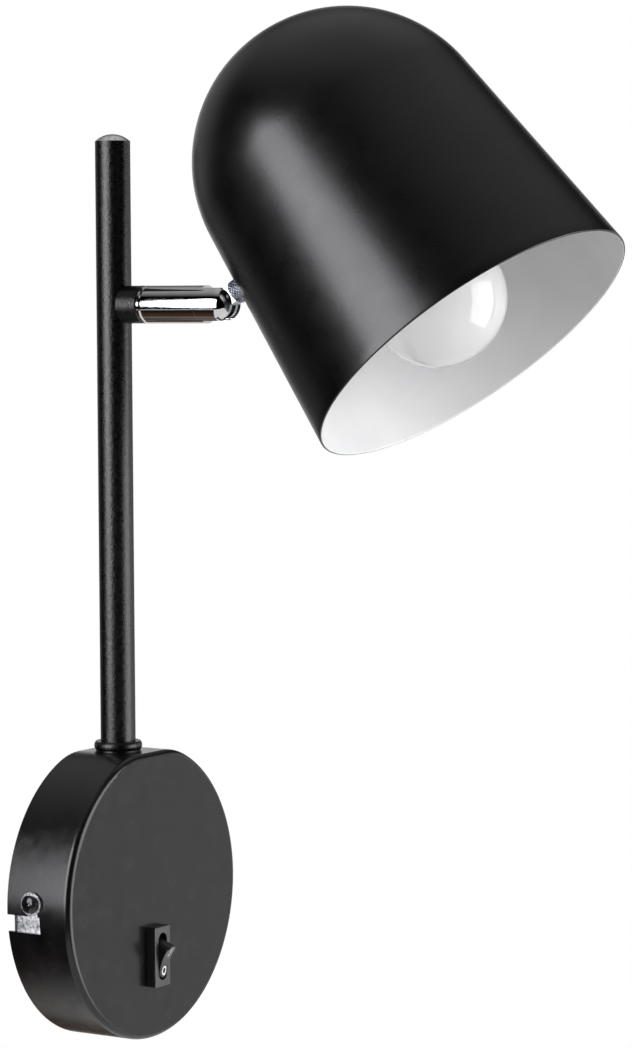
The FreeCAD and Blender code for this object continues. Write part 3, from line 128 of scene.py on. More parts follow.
def plain_mesh(thing: Thing) -> Mesh:
    """Gives an object's mesh with its modifiers worked in."""
    evaluated = thing.evaluated_get(bpy.context.evaluated_depsgraph_get())
    return bpy.data.meshes.new_from_object(evaluated)


class Graph:
    """Short calls that fill a node tree."""

    def __init__(self, tree: bpy.types.NodeTree) -> None:
        """Empties a tree, ready for new nodes."""
        self.tree = tree
        tree.nodes.clear()

    def add(self, kind: str, inputs: dict | None = None, **settings: object) -> bpy.types.Node:
        """Adds a node, sets its properties, and then sets or links its inputs.

        Args:
            kind: Blender's name of the node's type.
            inputs: Values, sockets or lists of sockets by input name or number.
            **settings: Properties of the node.

        Returns:
            The new node.
        """
        node = self.tree.nodes.new(kind)
        for key, value in settings.items():
            setattr(node, key, value)
        for key, value in (inputs or {}).items():
            for source in value if isinstance(value, list) else [value]:
                if isinstance(source, Socket):
                    self.tree.links.new(source, node.inputs[key])
                else:
                    node.inputs[key].default_value = source
        return node

    def made(self, kind: str, inputs: dict | None = None, **settings: object) -> Socket:
        """Adds a node as add does, and gives its first output."""
        return self.add(kind, inputs, **settings).outputs[0]

    def calc(self, operation: str, *terms: object) -> Socket:
        """Adds one Math node on one to three numbers or sockets."""
        return self.made("ShaderNodeMath", dict(enumerate(terms)), operation=operation)

    def vector(self, x: object = 0.0, y: object = 0.0, z: object = 0.0) -> Socket:
        """Joins three numbers or sockets into a vector."""
        return self.made("ShaderNodeCombineXYZ", {0: x, 1: y, 2: z})

    def noise(self, place: Socket, scale: float, detail: float) -> Socket:
        """Gives a noise pattern, from 0 to 1, of so many waves per metre and finer layers."""
        return self.made("ShaderNodeTexNoise", {"Vector": place, "Scale": scale, "Detail": detail})

    def ramp(self, factor: Socket, stops: Sequence[tuple[float, Colour]]) -> Socket:
        """Adds a colour ramp.

        Args:
            factor: What runs along the ramp.
            stops: Places and colours, from the lowest place up.

        Returns:
            The colour's socket.
        """
        node = self.add("ShaderNodeValToRGB", {0: factor})
        while len(node.color_ramp.elements) < len(stops):
            node.color_ramp.elements.new(0.5)
        for element, (place, colour) in zip(node.color_ramp.elements, stops):
            element.position = place
            element.color = (*colour, 1.0)
        return node.outputs[0]

    def spread(self, factor: Socket, answer: Pair, span: Pair = NOISE_SPAN) -> Socket:
        """Maps the span of a pattern onto the range of answers."""
        return self.made("ShaderNodeMapRange", dict(enumerate((factor, *span, *answer))))


class Growth(Graph):
    """Geometry tree with named inputs that is run once to give a plain mesh."""

    KINDS = {float: "NodeSocketFloat", int: "NodeSocketInt", Material: "NodeSocketMaterial"}

    def __init__(self, name: str, values: dict[str, object]) -> None:
        """Starts the tree with an input for each value.

        Args:
            name: The tree's name.
            values: Values of its inputs, by name.
        """
        super().__init__(bpy.data.node_groups.new(name, "GeometryNodeTree"))
        front = self.tree.interface
        for label, value in values.items():
            front.new_socket(label, in_out="INPUT", socket_type=self.KINDS[type(value)])
        front.new_socket("Geometry", in_out="OUTPUT", socket_type="NodeSocketGeometry")
        self.values = values
        self.given = self.add("NodeGroupInput").outputs[:len(values)]  # in the same order

    def mesh(self, name: str, geometry: Socket) -> Mesh:
        """Ends the tree, runs it and keeps its result as a plain mesh.

        Args:
            name: The mesh's name.
            geometry: What the tree ends in.

        Returns:
            The plain mesh.
        """
        self.add("NodeGroupOutput", {0: geometry})
        host = in_scene(f"{name}_host", bpy.data.meshes.new(f"{name}_host"))
        modifier = host.modifiers.new("grow", "NODES")
        modifier.node_group = self.tree
        for item in self.tree.interface.items_tree:
            if item.in_out == "INPUT":
                modifier[item.identifier] = self.values[item.name]
        mesh = plain_mesh(host)
        mesh.name = name
        bpy.data.objects.remove(host)
        return mesh


# ---- finishes ----


def new_material(name: str) -> tuple[Material, Graph]:
    """Starts a material.

    Args:
        name: The material's name.

    Returns:
        The material and its empty graph.
    """
    material = bpy.data.materials.new(name)
    material.use_nodes = True
    return material, Graph(material.node_tree)


@dataclass(frozen=True)
class Finish:
    """A surface finish whose colour and gloss drift a little and whose relief is real."""

    name: str
    low: Colour  # dark end of the drift
    high: Colour  # light end of the drift
    roughness: Pair  # lowest and highest
    drift: float = 40.0  # waves per metre of the colour's drift
    grain: float = 1500.0  # waves per metre of the relief
    depth: float = 0.00001  # height of the relief in metres
    relief: Relief = Relief.PEEL
    metallic: float = 0.0  # 1 for bare metal
    ior: float = 1.5  # index of refraction
    coat: float = 0.0  # weight of a clear coat
    coat_roughness: float = 0.08
    sheer: float = 0.0  # share of the light that passes through
    painted_glow: float = 0.0  # painted glow: white light it gives off evenly, though it is no lamp, which evens out its shading
    axis_turn: float = 0.0  # of a turned surface's axis about X, in degrees

    def material(self) -> Material:
        """Makes the material the first time, and gives the same one afterwards.

        Returns:
            The material.
        """
        found = bpy.data.materials.get(self.name)
        if found is not None:
            return found
        material, graph = new_material(self.name)
        material.diffuse_color = (*self.high, 1.0)
        place = graph.add("ShaderNodeTexCoord").outputs["Object"]
        shader = graph.made("ShaderNodeBsdfPrincipled", {
            "Base Color": self.colour(graph, place), "Roughness": self.gloss(graph, place),
            "Normal": self.normal(graph, place), "Metallic": self.metallic, "IOR": self.ior,
            "Coat Weight": self.coat, "Coat Roughness": self.coat_roughness,
            "Transmission Weight": self.sheer,
            # White emission here is a painted glow on parts that are no lamp.
            "Emission Color": WHITE, "Emission Strength": self.painted_glow})
        graph.add("ShaderNodeOutputMaterial", {"Surface": shader})
        return material

    def colour(self, graph: Graph, place: Socket) -> Socket:
        """Gives the drifting colour."""
        stops = list(zip(COLOUR_SPAN, (self.low, self.high)))
        return graph.ramp(graph.noise(place, self.drift, 4.0), stops)

    def gloss(self, graph: Graph, place: Socket) -> Socket:
        """Gives the drifting roughness, in smaller patches than the colour."""
        return graph.spread(graph.noise(place, self.drift * GLOSS_PACE, 3.0), self.roughness)

    def height(self, graph: Graph, place: Socket) -> Socket:
        """Gives the height of the relief.

        Args:
            graph: The material's graph.
            place: Where it is read.

        Returns:
            The height, from 0 to 1.
        """
        if self.relief is Relief.SPANGLE:
            cells = graph.made("ShaderNodeTexVoronoi", {"Vector": place, "Scale": self.grain})
            return graph.calc("MULTIPLY", cells, graph.noise(place, self.grain / 3, 5.0))
        if self.relief is Relief.TURNED:
            turn = (radians(self.axis_turn), 0.0, 0.0)
            along = graph.made("ShaderNodeMapping", {
                "Vector": place, "Rotation": turn, "Scale": LATHE_MARKS})
            return graph.noise(along, self.grain, 3.0)
        if self.relief is Relief.MOULDED:
            return graph.noise(place, self.grain, 1.0)
        broad = graph.noise(place, self.grain / PEEL_PACE, 1.0)
        return graph.calc("MULTIPLY_ADD", broad, PEEL_SHARE, graph.noise(place, self.grain, 2.0))

    def normal(self, graph: Graph, place: Socket) -> Socket:
        """Gives the normal that the relief leaves."""
        inputs = {"Height": self.height(graph, place), "Strength": 1.0, "Distance": self.depth}
        return graph.made("ShaderNodeBump", inputs)


SHADE_PAINT = Finish("satin_black_shade", (0.001, 0.001, 0.0012), (0.0024, 0.0024, 0.0025),
                     (0.26, 0.31), grain=850.0, depth=0.000016)
BASE_PAINT = Finish("satin_black_base", (0.0016, 0.0016, 0.002), (0.0036, 0.0036, 0.004),
                    (0.2, 0.28), drift=90.0, grain=800.0, depth=0.000012)
ROD_PAINT = Finish("grained_black_rod", (0.0004, 0.0004, 0.0005), (0.0012, 0.0012, 0.0013),
                   (0.24, 0.34), drift=260.0, grain=2300.0, depth=0.0001)
ENAMEL = Finish("white_enamel", (0.735, 0.735, 0.747), (0.795, 0.795, 0.802), (0.42, 0.5),
                grain=900.0, depth=0.000008)
CHROME = Finish("polished_chrome", (0.62, 0.62, 0.635), (0.7, 0.7, 0.71), (0.045, 0.09),
                drift=220.0, depth=0.000002, relief=Relief.TURNED, metallic=1.0, axis_turn=90.0)
STUB_CHROME = Finish("plated_stub", (0.26, 0.27, 0.29), (0.46, 0.47, 0.5), (0.08, 0.16),
                     drift=300.0, depth=0.000004, metallic=1.0)
KNURL_STEEL = Finish("knurled_steel", (0.07, 0.075, 0.09), (0.3, 0.32, 0.37), (0.16, 0.3),
                     drift=500.0, grain=2200.0, metallic=1.0)
ZINC = Finish("galvanised_strip", (0.24, 0.245, 0.25), (0.93, 0.93, 0.94), (0.2, 0.4),
              drift=420.0, grain=420.0, depth=0.00006, relief=Relief.SPANGLE, metallic=1.0)
BLACKED = Finish("blackened_screw", (0.006, 0.006, 0.007), (0.02, 0.019, 0.019), (0.12, 0.22),
                 drift=500.0, grain=1800.0)
# Steel of the side washers; the same finish paints glints in the screw recesses.
WASHER_STEEL = Finish("worn_washer", (0.3, 0.3, 0.305), (0.62, 0.62, 0.63), (0.2, 0.34),
                      drift=600.0, grain=1600.0, metallic=0.9)
MOULDED_BLACK = Finish("moulded_black", (0.008, 0.008, 0.0085), (0.014, 0.0138, 0.014),
                       (0.3, 0.38), grain=2600.0, relief=Relief.MOULDED, ior=1.85)
ROCKER_BLACK = Finish("polished_rocker", (0.006, 0.006, 0.0065), (0.01, 0.01, 0.0105),
                      (0.14, 0.2), grain=2200.0, depth=0.000003, relief=Relief.MOULDED, coat=0.3)
WASHER_BLACK = Finish("black_washer", (0.006, 0.006, 0.0065), (0.011, 0.011, 0.0115),
                      (0.16, 0.24), grain=1200.0)
# The rod's end cap is glossy black; this near-white metal paints the highlight on its top.
PLUG_PAINTED_HIGHLIGHT = Finish("rod_cap_painted_highlight", (0.6, 0.6, 0.605), (0.97, 0.97, 0.97), (0.06, 0.14),
                     drift=700.0, grain=1200.0, metallic=1.0)
MARK_WHITE = Finish("printed_white", (0.78, 0.78, 0.78), (0.86, 0.86, 0.86), (0.45, 0.55),
                    grain=3000.0, depth=0.000003, relief=Relief.MOULDED)
# The unlit bulb's glass gives off a faint white painted glow that evens out its shading.
OPAL = Finish("opal_bulb_glass", (0.6, 0.6, 0.597), (0.64, 0.64, 0.637), (0.85, 0.95),
              drift=25.0, grain=60.0, relief=Relief.MOULDED, coat=1.0, coat_roughness=0.01,
              sheer=0.6, painted_glow=0.17)
THERMOPLAST = Finish("white_holder", (0.7, 0.7, 0.67), (0.78, 0.78, 0.75), (0.36, 0.46),
                     grain=2200.0, depth=0.000006, relief=Relief.MOULDED)
BRASS = Finish("rolled_brass", (0.55, 0.4, 0.16), (0.72, 0.54, 0.25), (0.22, 0.36),
               drift=260.0, grain=1300.0, depth=0.000008, relief=Relief.TURNED, metallic=1.0)
NICKEL = Finish("nickel_cap", (0.48, 0.47, 0.45), (0.66, 0.65, 0.62), (0.16, 0.3),
                drift=300.0, depth=0.000008, metallic=1.0)
GLAZE = Finish("black_glaze", (0.01, 0.01, 0.012), (0.02, 0.02, 0.024), (0.06, 0.14), grain=500.0,
               depth=0.00002)
NYLON = Finish("nylon_washer", (0.55, 0.55, 0.52), (0.68, 0.68, 0.65), (0.34, 0.44),
               grain=2400.0, depth=0.000006, relief=Relief.MOULDED)
SHEATH = Finish("white_flex_jacket", (0.62, 0.62, 0.61), (0.7, 0.7, 0.69), (0.42, 0.52))
CORE_BROWN = Finish("core_brown", (0.16, 0.07, 0.028), (0.22, 0.1, 0.045), (0.34, 0.44))
CORE_BLUE = Finish("core_blue", (0.02, 0.1, 0.38), (0.04, 0.15, 0.48), (0.34, 0.44))


# ---- meshes ----


@contextmanager
def editing(mesh: Mesh) -> Iterator[bmesh.types.BMesh]:
    """Opens a mesh for editing and writes it back afterwards.

    Args:
        mesh: The mesh.

    Yields:
        Its editable form.
    """
    work = bmesh.new()
    work.from_mesh(mesh)
    yield work
    work.to_mesh(mesh)
    work.free()


def placed(mesh: Mesh, matrix: Matrix) -> Mesh:
    """Puts a mesh in place, welds it and turns its faces outwards.

    Args:
        mesh: A closed mesh about its own origin.
        matrix: Where it goes.

    Returns:
        The same mesh.
    """
    with editing(mesh) as work:
        bmesh.ops.transform(work, matrix=matrix, verts=work.verts)
        bmesh.ops.remove_doubles(work, verts=work.verts, dist=WELD)
        bmesh.ops.recalc_face_normals(work, faces=work.faces)
    return mesh


def band(work: bmesh.types.BMesh, first: Ring, second: Ring) -> None:
    """Joins two rings of points with faces.

    Args:
        work: The mesh.
        first: One ring, or the one point that it has on the axis.
        second: The other ring, likewise.
    """
    count = max(len(first), len(second))
    for step in range(count):
        following = (step + 1) % count
        spots = [first[step % len(first)], first[following % len(first)],
                 second[following % len(second)], second[step % len(second)]]
        outline = list(dict.fromkeys(spots))
        if len(outline) > 2:
            work.faces.new(outline)


def turned_mesh(name: str, profile: Sequence[Pair], segments: int = 48) -> Mesh:
    """Turns a half outline about Z.

    Args:
        name: The mesh's name.
        profile: Radius and height of each point in millimetres, closed or from axis to axis.
        segments: Faces round the axis.

    Returns:
        A closed mesh.
    """
    mesh = bpy.data.meshes.new(name)
    with editing(mesh) as work:
        rings = []
        for radius, height in ((r * MM, h * MM) for r, h in profile):
            turns = [2 * pi * step / segments for step in range(segments if radius else 1)]
            rings.append([work.verts.new((radius * cos(a), radius * sin(a), height))
                          for a in turns])
        for first, second in zip(rings, rings[1:]):
            band(work, first, second)
    return mesh


def sharpened(mesh: Mesh, crease: float) -> Mesh:
    """Shades a mesh smooth but for its sharp edges.

    Args:
        mesh: The mesh.
        crease: Edges that turn by more degrees stay sharp.

    Returns:
        The same mesh.
    """
    limit = radians(crease)
    with editing(mesh) as work:
        for face in work.faces:
            face.smooth = True
        for edge in work.edges:
            edge.smooth = len(edge.link_faces) == 2 and edge.calc_face_angle(0.0) < limit
    return mesh


def carved(mesh: Mesh, cutter: Mesh) -> Mesh:
    """Cuts one closed mesh out of another.

    Args:
        mesh: The mesh that is cut.
        cutter: The mesh that is taken away.

    Returns:
        A new plain mesh with the first one's name.
    """
    name = mesh.name
    stock, tool = in_scene(f"{name}_stock", mesh), in_scene(f"{name}_tool", cutter)
    cut = stock.modifiers.new("cut", "BOOLEAN")
    cut.operation, cut.solver, cut.object = "DIFFERENCE", "EXACT", tool
    result = plain_mesh(stock)
    for item in (stock, tool):
        bpy.data.objects.remove(item)
    bpy.data.meshes.remove(mesh)
    result.name = name
    return result


def add_piece(mesh: Mesh, body: Body, slot: Slot, finishes: Sequence[Finish] = (),
              stands_for: Sequence[str] = ()) -> None:
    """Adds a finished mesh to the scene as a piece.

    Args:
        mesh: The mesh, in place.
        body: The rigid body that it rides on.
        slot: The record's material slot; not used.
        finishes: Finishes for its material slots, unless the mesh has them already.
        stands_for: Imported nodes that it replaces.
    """
    piece = in_scene(mesh.name, mesh)
    for finish in finishes:
        mesh.materials.append(finish.material())
    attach(piece, body.value)
    if stands_for:
        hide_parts(*stands_for)
    LOG.info("piece %s: %d faces on %s", piece.name, len(mesh.polygons), body.value)


# ---- sub-assemblies ----


@dataclass
class LampPart:
    """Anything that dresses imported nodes."""

    nodes: dict[str, Thing]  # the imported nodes' objects by name

    def dress(self, finish: Finish, *names: str) -> None:
        """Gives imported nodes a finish.

        Args:
            finish: The finish.
            *names: The nodes' names.
        """
        for name in names:
            for slot in self.nodes[name].material_slots:
                slot.material = finish.material()
            LOG.info("node %s: %s", name, finish.name)


@dataclass
class Base(LampPart):
    """Round base: cover, bracket, side screws and rocker switch. Sizes are millimetres."""

    radius: float = 50.0  # outer radius of the cover
    screw_reach: float = 10.3  # from the wall to the side screws
    screw_rise: float = 2.6  # of the side screws over the cover's middle
    seat: float = 0.8  # of the screw heads, off the cover
    head_radius: float = 3.1
    head_height: float = 2.1
    head_side: float = 0.35  # share of that height where the crown starts
    shank_radius: float = 2.0
    grip: float = 6.0  # reach of the shank
    recess_span: float = 1.95  # half the span of the cross recess
    recess_taper: Pair = (0.35, 1.25)  # shares of that span at its floor and above the head
    recess_width: float = 0.95  # width of the recess's arms
    recess_depth: float = 1.5
    recess_mouth: float = 0.72  # share of the head's height that the recess's faces keep under; these faces carry painted glints
    switch_place: tuple[float, float, float] = (-0.5, -26.7, -21.4)  # place of the rocker's pivot
    rocker_angle: float = 22.0  # how far it is pressed, in degrees
    dish_radius: float = 15.51  # of the rocker's hollow face
    dish_floor: float = 3.65  # from the pivot to the hollow's deepest line
    mark_lifts: Pair = (0.03, -0.05)  # a mark's front and rear in front of the rocker's face
    off_radii: Pair = (0.76, 1.22)  # inner and outer radius of the off mark
    off_stretch: float = 1.32  # how much taller than wide the off mark is
    off_place: float = -3.6  # place of the off mark along the rocker's face
    # Half width, lower end and upper end of the on mark, inner and outer.
    on_edges: tuple[tuple[float, float, float], ...] = ((0.06, 1.9, 4.6), (0.25, 1.7, 4.8))

    def build(self) -> None:
        """Dresses the base's nodes and adds the recessed screws and the switch's marks."""
        self.dress(BASE_PAINT, "base_cover")
        self.dress(ZINC, "wall_bracket", "earth_screw", "earth_washer", "block_screw",
                   "terminal_screws")
        self.dress(WASHER_STEEL, "side_washers")
        self.dress(MOULDED_BLACK, "switch_housing")
        self.dress(ROCKER_BLACK, "switch_rocker")
        self.dress(BRASS, "switch_terminals")
        self.dress(THERMOPLAST, "terminal_block")
        self.dress(CORE_BROWN, "wire_switched", "wire_line")
        self.dress(CORE_BLUE, "wire_neutral")
        self.side_screws()
        self.marks()

    def head(self, name: str) -> Mesh:
        """Makes one pan-head screw with a cross recess, head up along Z.

        Args:
            name: The mesh's name.

        Returns:
            The mesh about the seat's middle.
        """
        outline = [(0.0, -self.grip), (self.shank_radius, -self.grip), (self.shank_radius, 0.0),
                   (self.head_radius, 0.0)]
        for turn in (radians(step) for step in range(0, 90, 10)):
            rise = self.head_side + (1.0 - self.head_side) * sin(turn)
            outline.append((self.head_radius * cos(turn), self.head_height * rise))
        outline.append((0.0, self.head_height))
        mesh = placed(turned_mesh(name, outline), Matrix())
        for turn in (0.0, 90.0):
            mesh = carved(mesh, self.wing(turn))
        # Faces inside the cross recess take the second, lighter steel finish: painted glints in the
        # recess.
        span, mouth = self.recess_span * MM, self.head_height * self.recess_mouth * MM
        for polygon in mesh.polygons:
            across, height = hypot(polygon.center.x, polygon.center.y), polygon.center.z
            polygon.material_index = int(across < span and 0.0 < height < mouth)
        return sharpened(mesh, crease=28.0)

    def wing(self, turn: float) -> Mesh:
        """Makes one tapered bar of the cross recess.

        Args:
            turn: Its turn about Z in degrees.

        Returns:
            The closed mesh.
        """
        mesh = bpy.data.meshes.new("recess_bar")
        half = self.recess_width / 2
        heights = (self.head_height - self.recess_depth, self.head_height + OVERCUT)
        with editing(mesh) as work:
            loops = []
            for height, share in zip(heights, self.recess_taper):
                span = self.recess_span * share
                loops.append([work.verts.new((x * MM, y * MM, height * MM)) for x, y in (
                    (-span, -half), (span, -half), (span, half), (-span, half))])
            lower, upper = loops
            work.faces.new(list(reversed(lower)))
            work.faces.new(upper)
            band(work, lower, upper)
            bmesh.ops.rotate(work, verts=work.verts,
                             matrix=Matrix.Rotation(radians(turn), 3, "Z"))
        return mesh

    def side_screws(self) -> None:
        """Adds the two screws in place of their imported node."""
        for name, side, turn in (("side_screw_left", -1.0, 31.0), ("side_screw_right", 1.0, -12.0)):
            spot = Vector((side * (self.radius + self.seat), -self.screw_reach, self.screw_rise))
            lean = Matrix.Rotation(radians(90.0 * side), 4, "Y")
            mesh = self.head(name)
            mesh.transform(Matrix.Translation(spot * MM) @ lean
                           @ Matrix.Rotation(radians(turn), 4, "Z"))
            # The second finish, light steel, paints glints inside the cross recess.
            add_piece(mesh, Body.BASE, Slot.DARK_STEEL, [BLACKED, WASHER_STEEL], ["side_screws"])

    def on_rocker(self, across: float, up: float, lift: float) -> Vector:
        """Gives a point on the rocker's hollow face.

        Args:
            across: Place to the right of the rocker's middle.
            up: Place above the rocker's middle, along its face.
            lift: How far in front of the face.

        Returns:
            The point in metres, with the rocker as pressed.
        """
        hollow = sqrt(self.dish_radius ** 2 - up ** 2)
        spot = Vector((across, -self.dish_floor - self.dish_radius + hollow - lift, up))
        turn = Matrix.Rotation(radians(self.rocker_angle), 3, "X")
        return (turn @ spot + Vector(self.switch_place)) * MM

    def mark(self, name: str, loops: Sequence[Sequence[Pair]]) -> None:
        """Adds a thin printed mark that follows the rocker's face.

        Args:
            name: The piece's name.
            loops: Two outlines with as many points each, whose gap is filled.
        """
        mesh = bpy.data.meshes.new(name)
        with editing(mesh) as work:
            (front_a, front_b), (rear_a, rear_b) = (
                [[work.verts.new(self.on_rocker(x, y, lift)) for x, y in loop] for loop in loops]
                for lift in self.mark_lifts)
            rounds = ((front_a, front_b), (front_b, rear_b), (rear_b, rear_a), (rear_a, front_a))
            for one, two in rounds:
                band(work, one, two)
            bmesh.ops.recalc_face_normals(work, faces=work.faces)
        add_piece(mesh, Body.ROCKER, Slot.WHITE_PLASTIC, [MARK_WHITE])

    def marks(self) -> None:
        """Adds the round off mark and the straight on mark."""
        turns = [2 * pi * step / 40 for step in range(40)]
        self.mark("mark_off", [
            [(radius * cos(a), self.off_stretch * radius * sin(a) + self.off_place)
             for a in turns] for radius in self.off_radii])
        self.mark("mark_on", [
            [(half, low), (half, high), (-half, high), (-half, low)]
            for half, low, high in self.on_edges])


@dataclass
class Rod(LampPart):
    """Upright rod, its plug and collar, the arm's boss and what is hidden in them."""

    def build(self) -> None:
        """Dresses the rod's nodes."""
        self.dress(ROD_PAINT, "rod_tube", "rod_collar", "arm_boss")
        # The black end plug takes a bright metal that paints its highlight.
        self.dress(PLUG_PAINTED_HIGHLIGHT, "rod_end_plug")
        self.dress(ZINC, "rod_nipple", "rod_lock_washer", "rod_nut", "swivel_washer")
        self.dress(BRASS, "swivel_pin", "swivel_nut")
        self.dress(CHROME, "swivel_ring")
        self.dress(SHEATH, "rod_flex")


@dataclass
class Knuckle(LampPart):
    """Polished sleeve and ball-nosed clevis that turn on the arm. Sizes are millimetres."""

    axis_height: float = 201.0  # height of the arm's axis
    radius: float = 6.4  # radius of the arm and of the clevis's ball nose
    seam: float = 47.0  # where the clevis meets the sleeve, from the wall
    spigot: float = 5.0  # reach of its spigot into the sleeve
    spigot_radius: float = 5.18
    bore: float = 2.8  # radius of the bore along it
    pivot: float = 54.4  # where the tilt pivot is, from the wall
    slot: float = 6.4  # width of the slot for the stub's eye
    slot_floor: float = 48.85  # where the slot starts, from the wall
    screw_bore: float = 1.52  # radius of the bore for the pivot screw
    screw_cover: float = 0.9  # metal left at the screw's tip
    head_bore: float = 2.65  # radius of the recess for the screw's head
    head_depth: float = 1.5
    nose_ease: float = 0.02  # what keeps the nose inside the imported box
    nose_rings: int = 24  # faces from the nose's widest ring to its bore
    around: int = 96  # faces round the clevis

    def build(self) -> None:
        """Adds the clevis and dresses the knuckle's other nodes."""
        self.clevis()
        self.dress(CHROME, "knuckle_sleeve")
        self.dress(ZINC, "pivot_screw")
        self.dress(NYLON, "tilt_washers")

    def clevis(self) -> None:
        """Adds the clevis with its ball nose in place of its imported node."""
        ball = self.radius - self.nose_ease
        last = degrees(acos(self.bore / ball))
        turns = [radians(last * step / self.nose_rings) for step in range(self.nose_rings + 1)]
        nose = [(ball * cos(turn), self.pivot + ball * sin(turn)) for turn in turns]
        rear = self.seam - self.spigot
        outline = [(self.bore, rear), (self.spigot_radius, rear), (self.spigot_radius, self.seam),
                   (ball, self.seam), *nose, (self.bore, rear)]
        mesh = placed(turned_mesh("clevis_ball", outline, self.around), Matrix())
        mesh = carved(mesh, self.slab())
        quarter = pi / 2
        across = Matrix.Translation((0.0, 0.0, self.pivot * MM)) @ Matrix.Rotation(quarter, 4, "Y")
        top = self.radius + OVERCUT
        for radius, low in ((self.screw_bore, self.screw_cover - self.radius),
                            (self.head_bore, self.radius - self.head_depth)):
            drill = turned_mesh("drill", [(0.0, low), (radius, low), (radius, top), (0.0, top)])
            mesh = carved(mesh, placed(drill, across))
        mesh.transform(Matrix.Translation((0.0, 0.0, self.axis_height * MM))
                       @ Matrix.Rotation(quarter, 4, "X"))
        mesh = sharpened(mesh, crease=30.0)
        add_piece(mesh, Body.KNUCKLE, Slot.CHROME, [CHROME], ["knuckle_clevis"])

    def slab(self) -> Mesh:
        """Makes the block that leaves the slot between the ears.

        Returns:
            The closed mesh.
        """
        mesh = bpy.data.meshes.new("slot_block")
        length = self.radius * 3
        move = Matrix.Translation(Vector((0.0, 0.0, self.slot_floor + length / 2)) * MM)
        size = Matrix.Diagonal((self.slot * MM, length * MM, length * MM, 1.0))
        with editing(mesh) as work:
            bmesh.ops.create_cube(work, size=1.0)
            bmesh.ops.transform(work, matrix=move @ size, verts=work.verts)
        return mesh


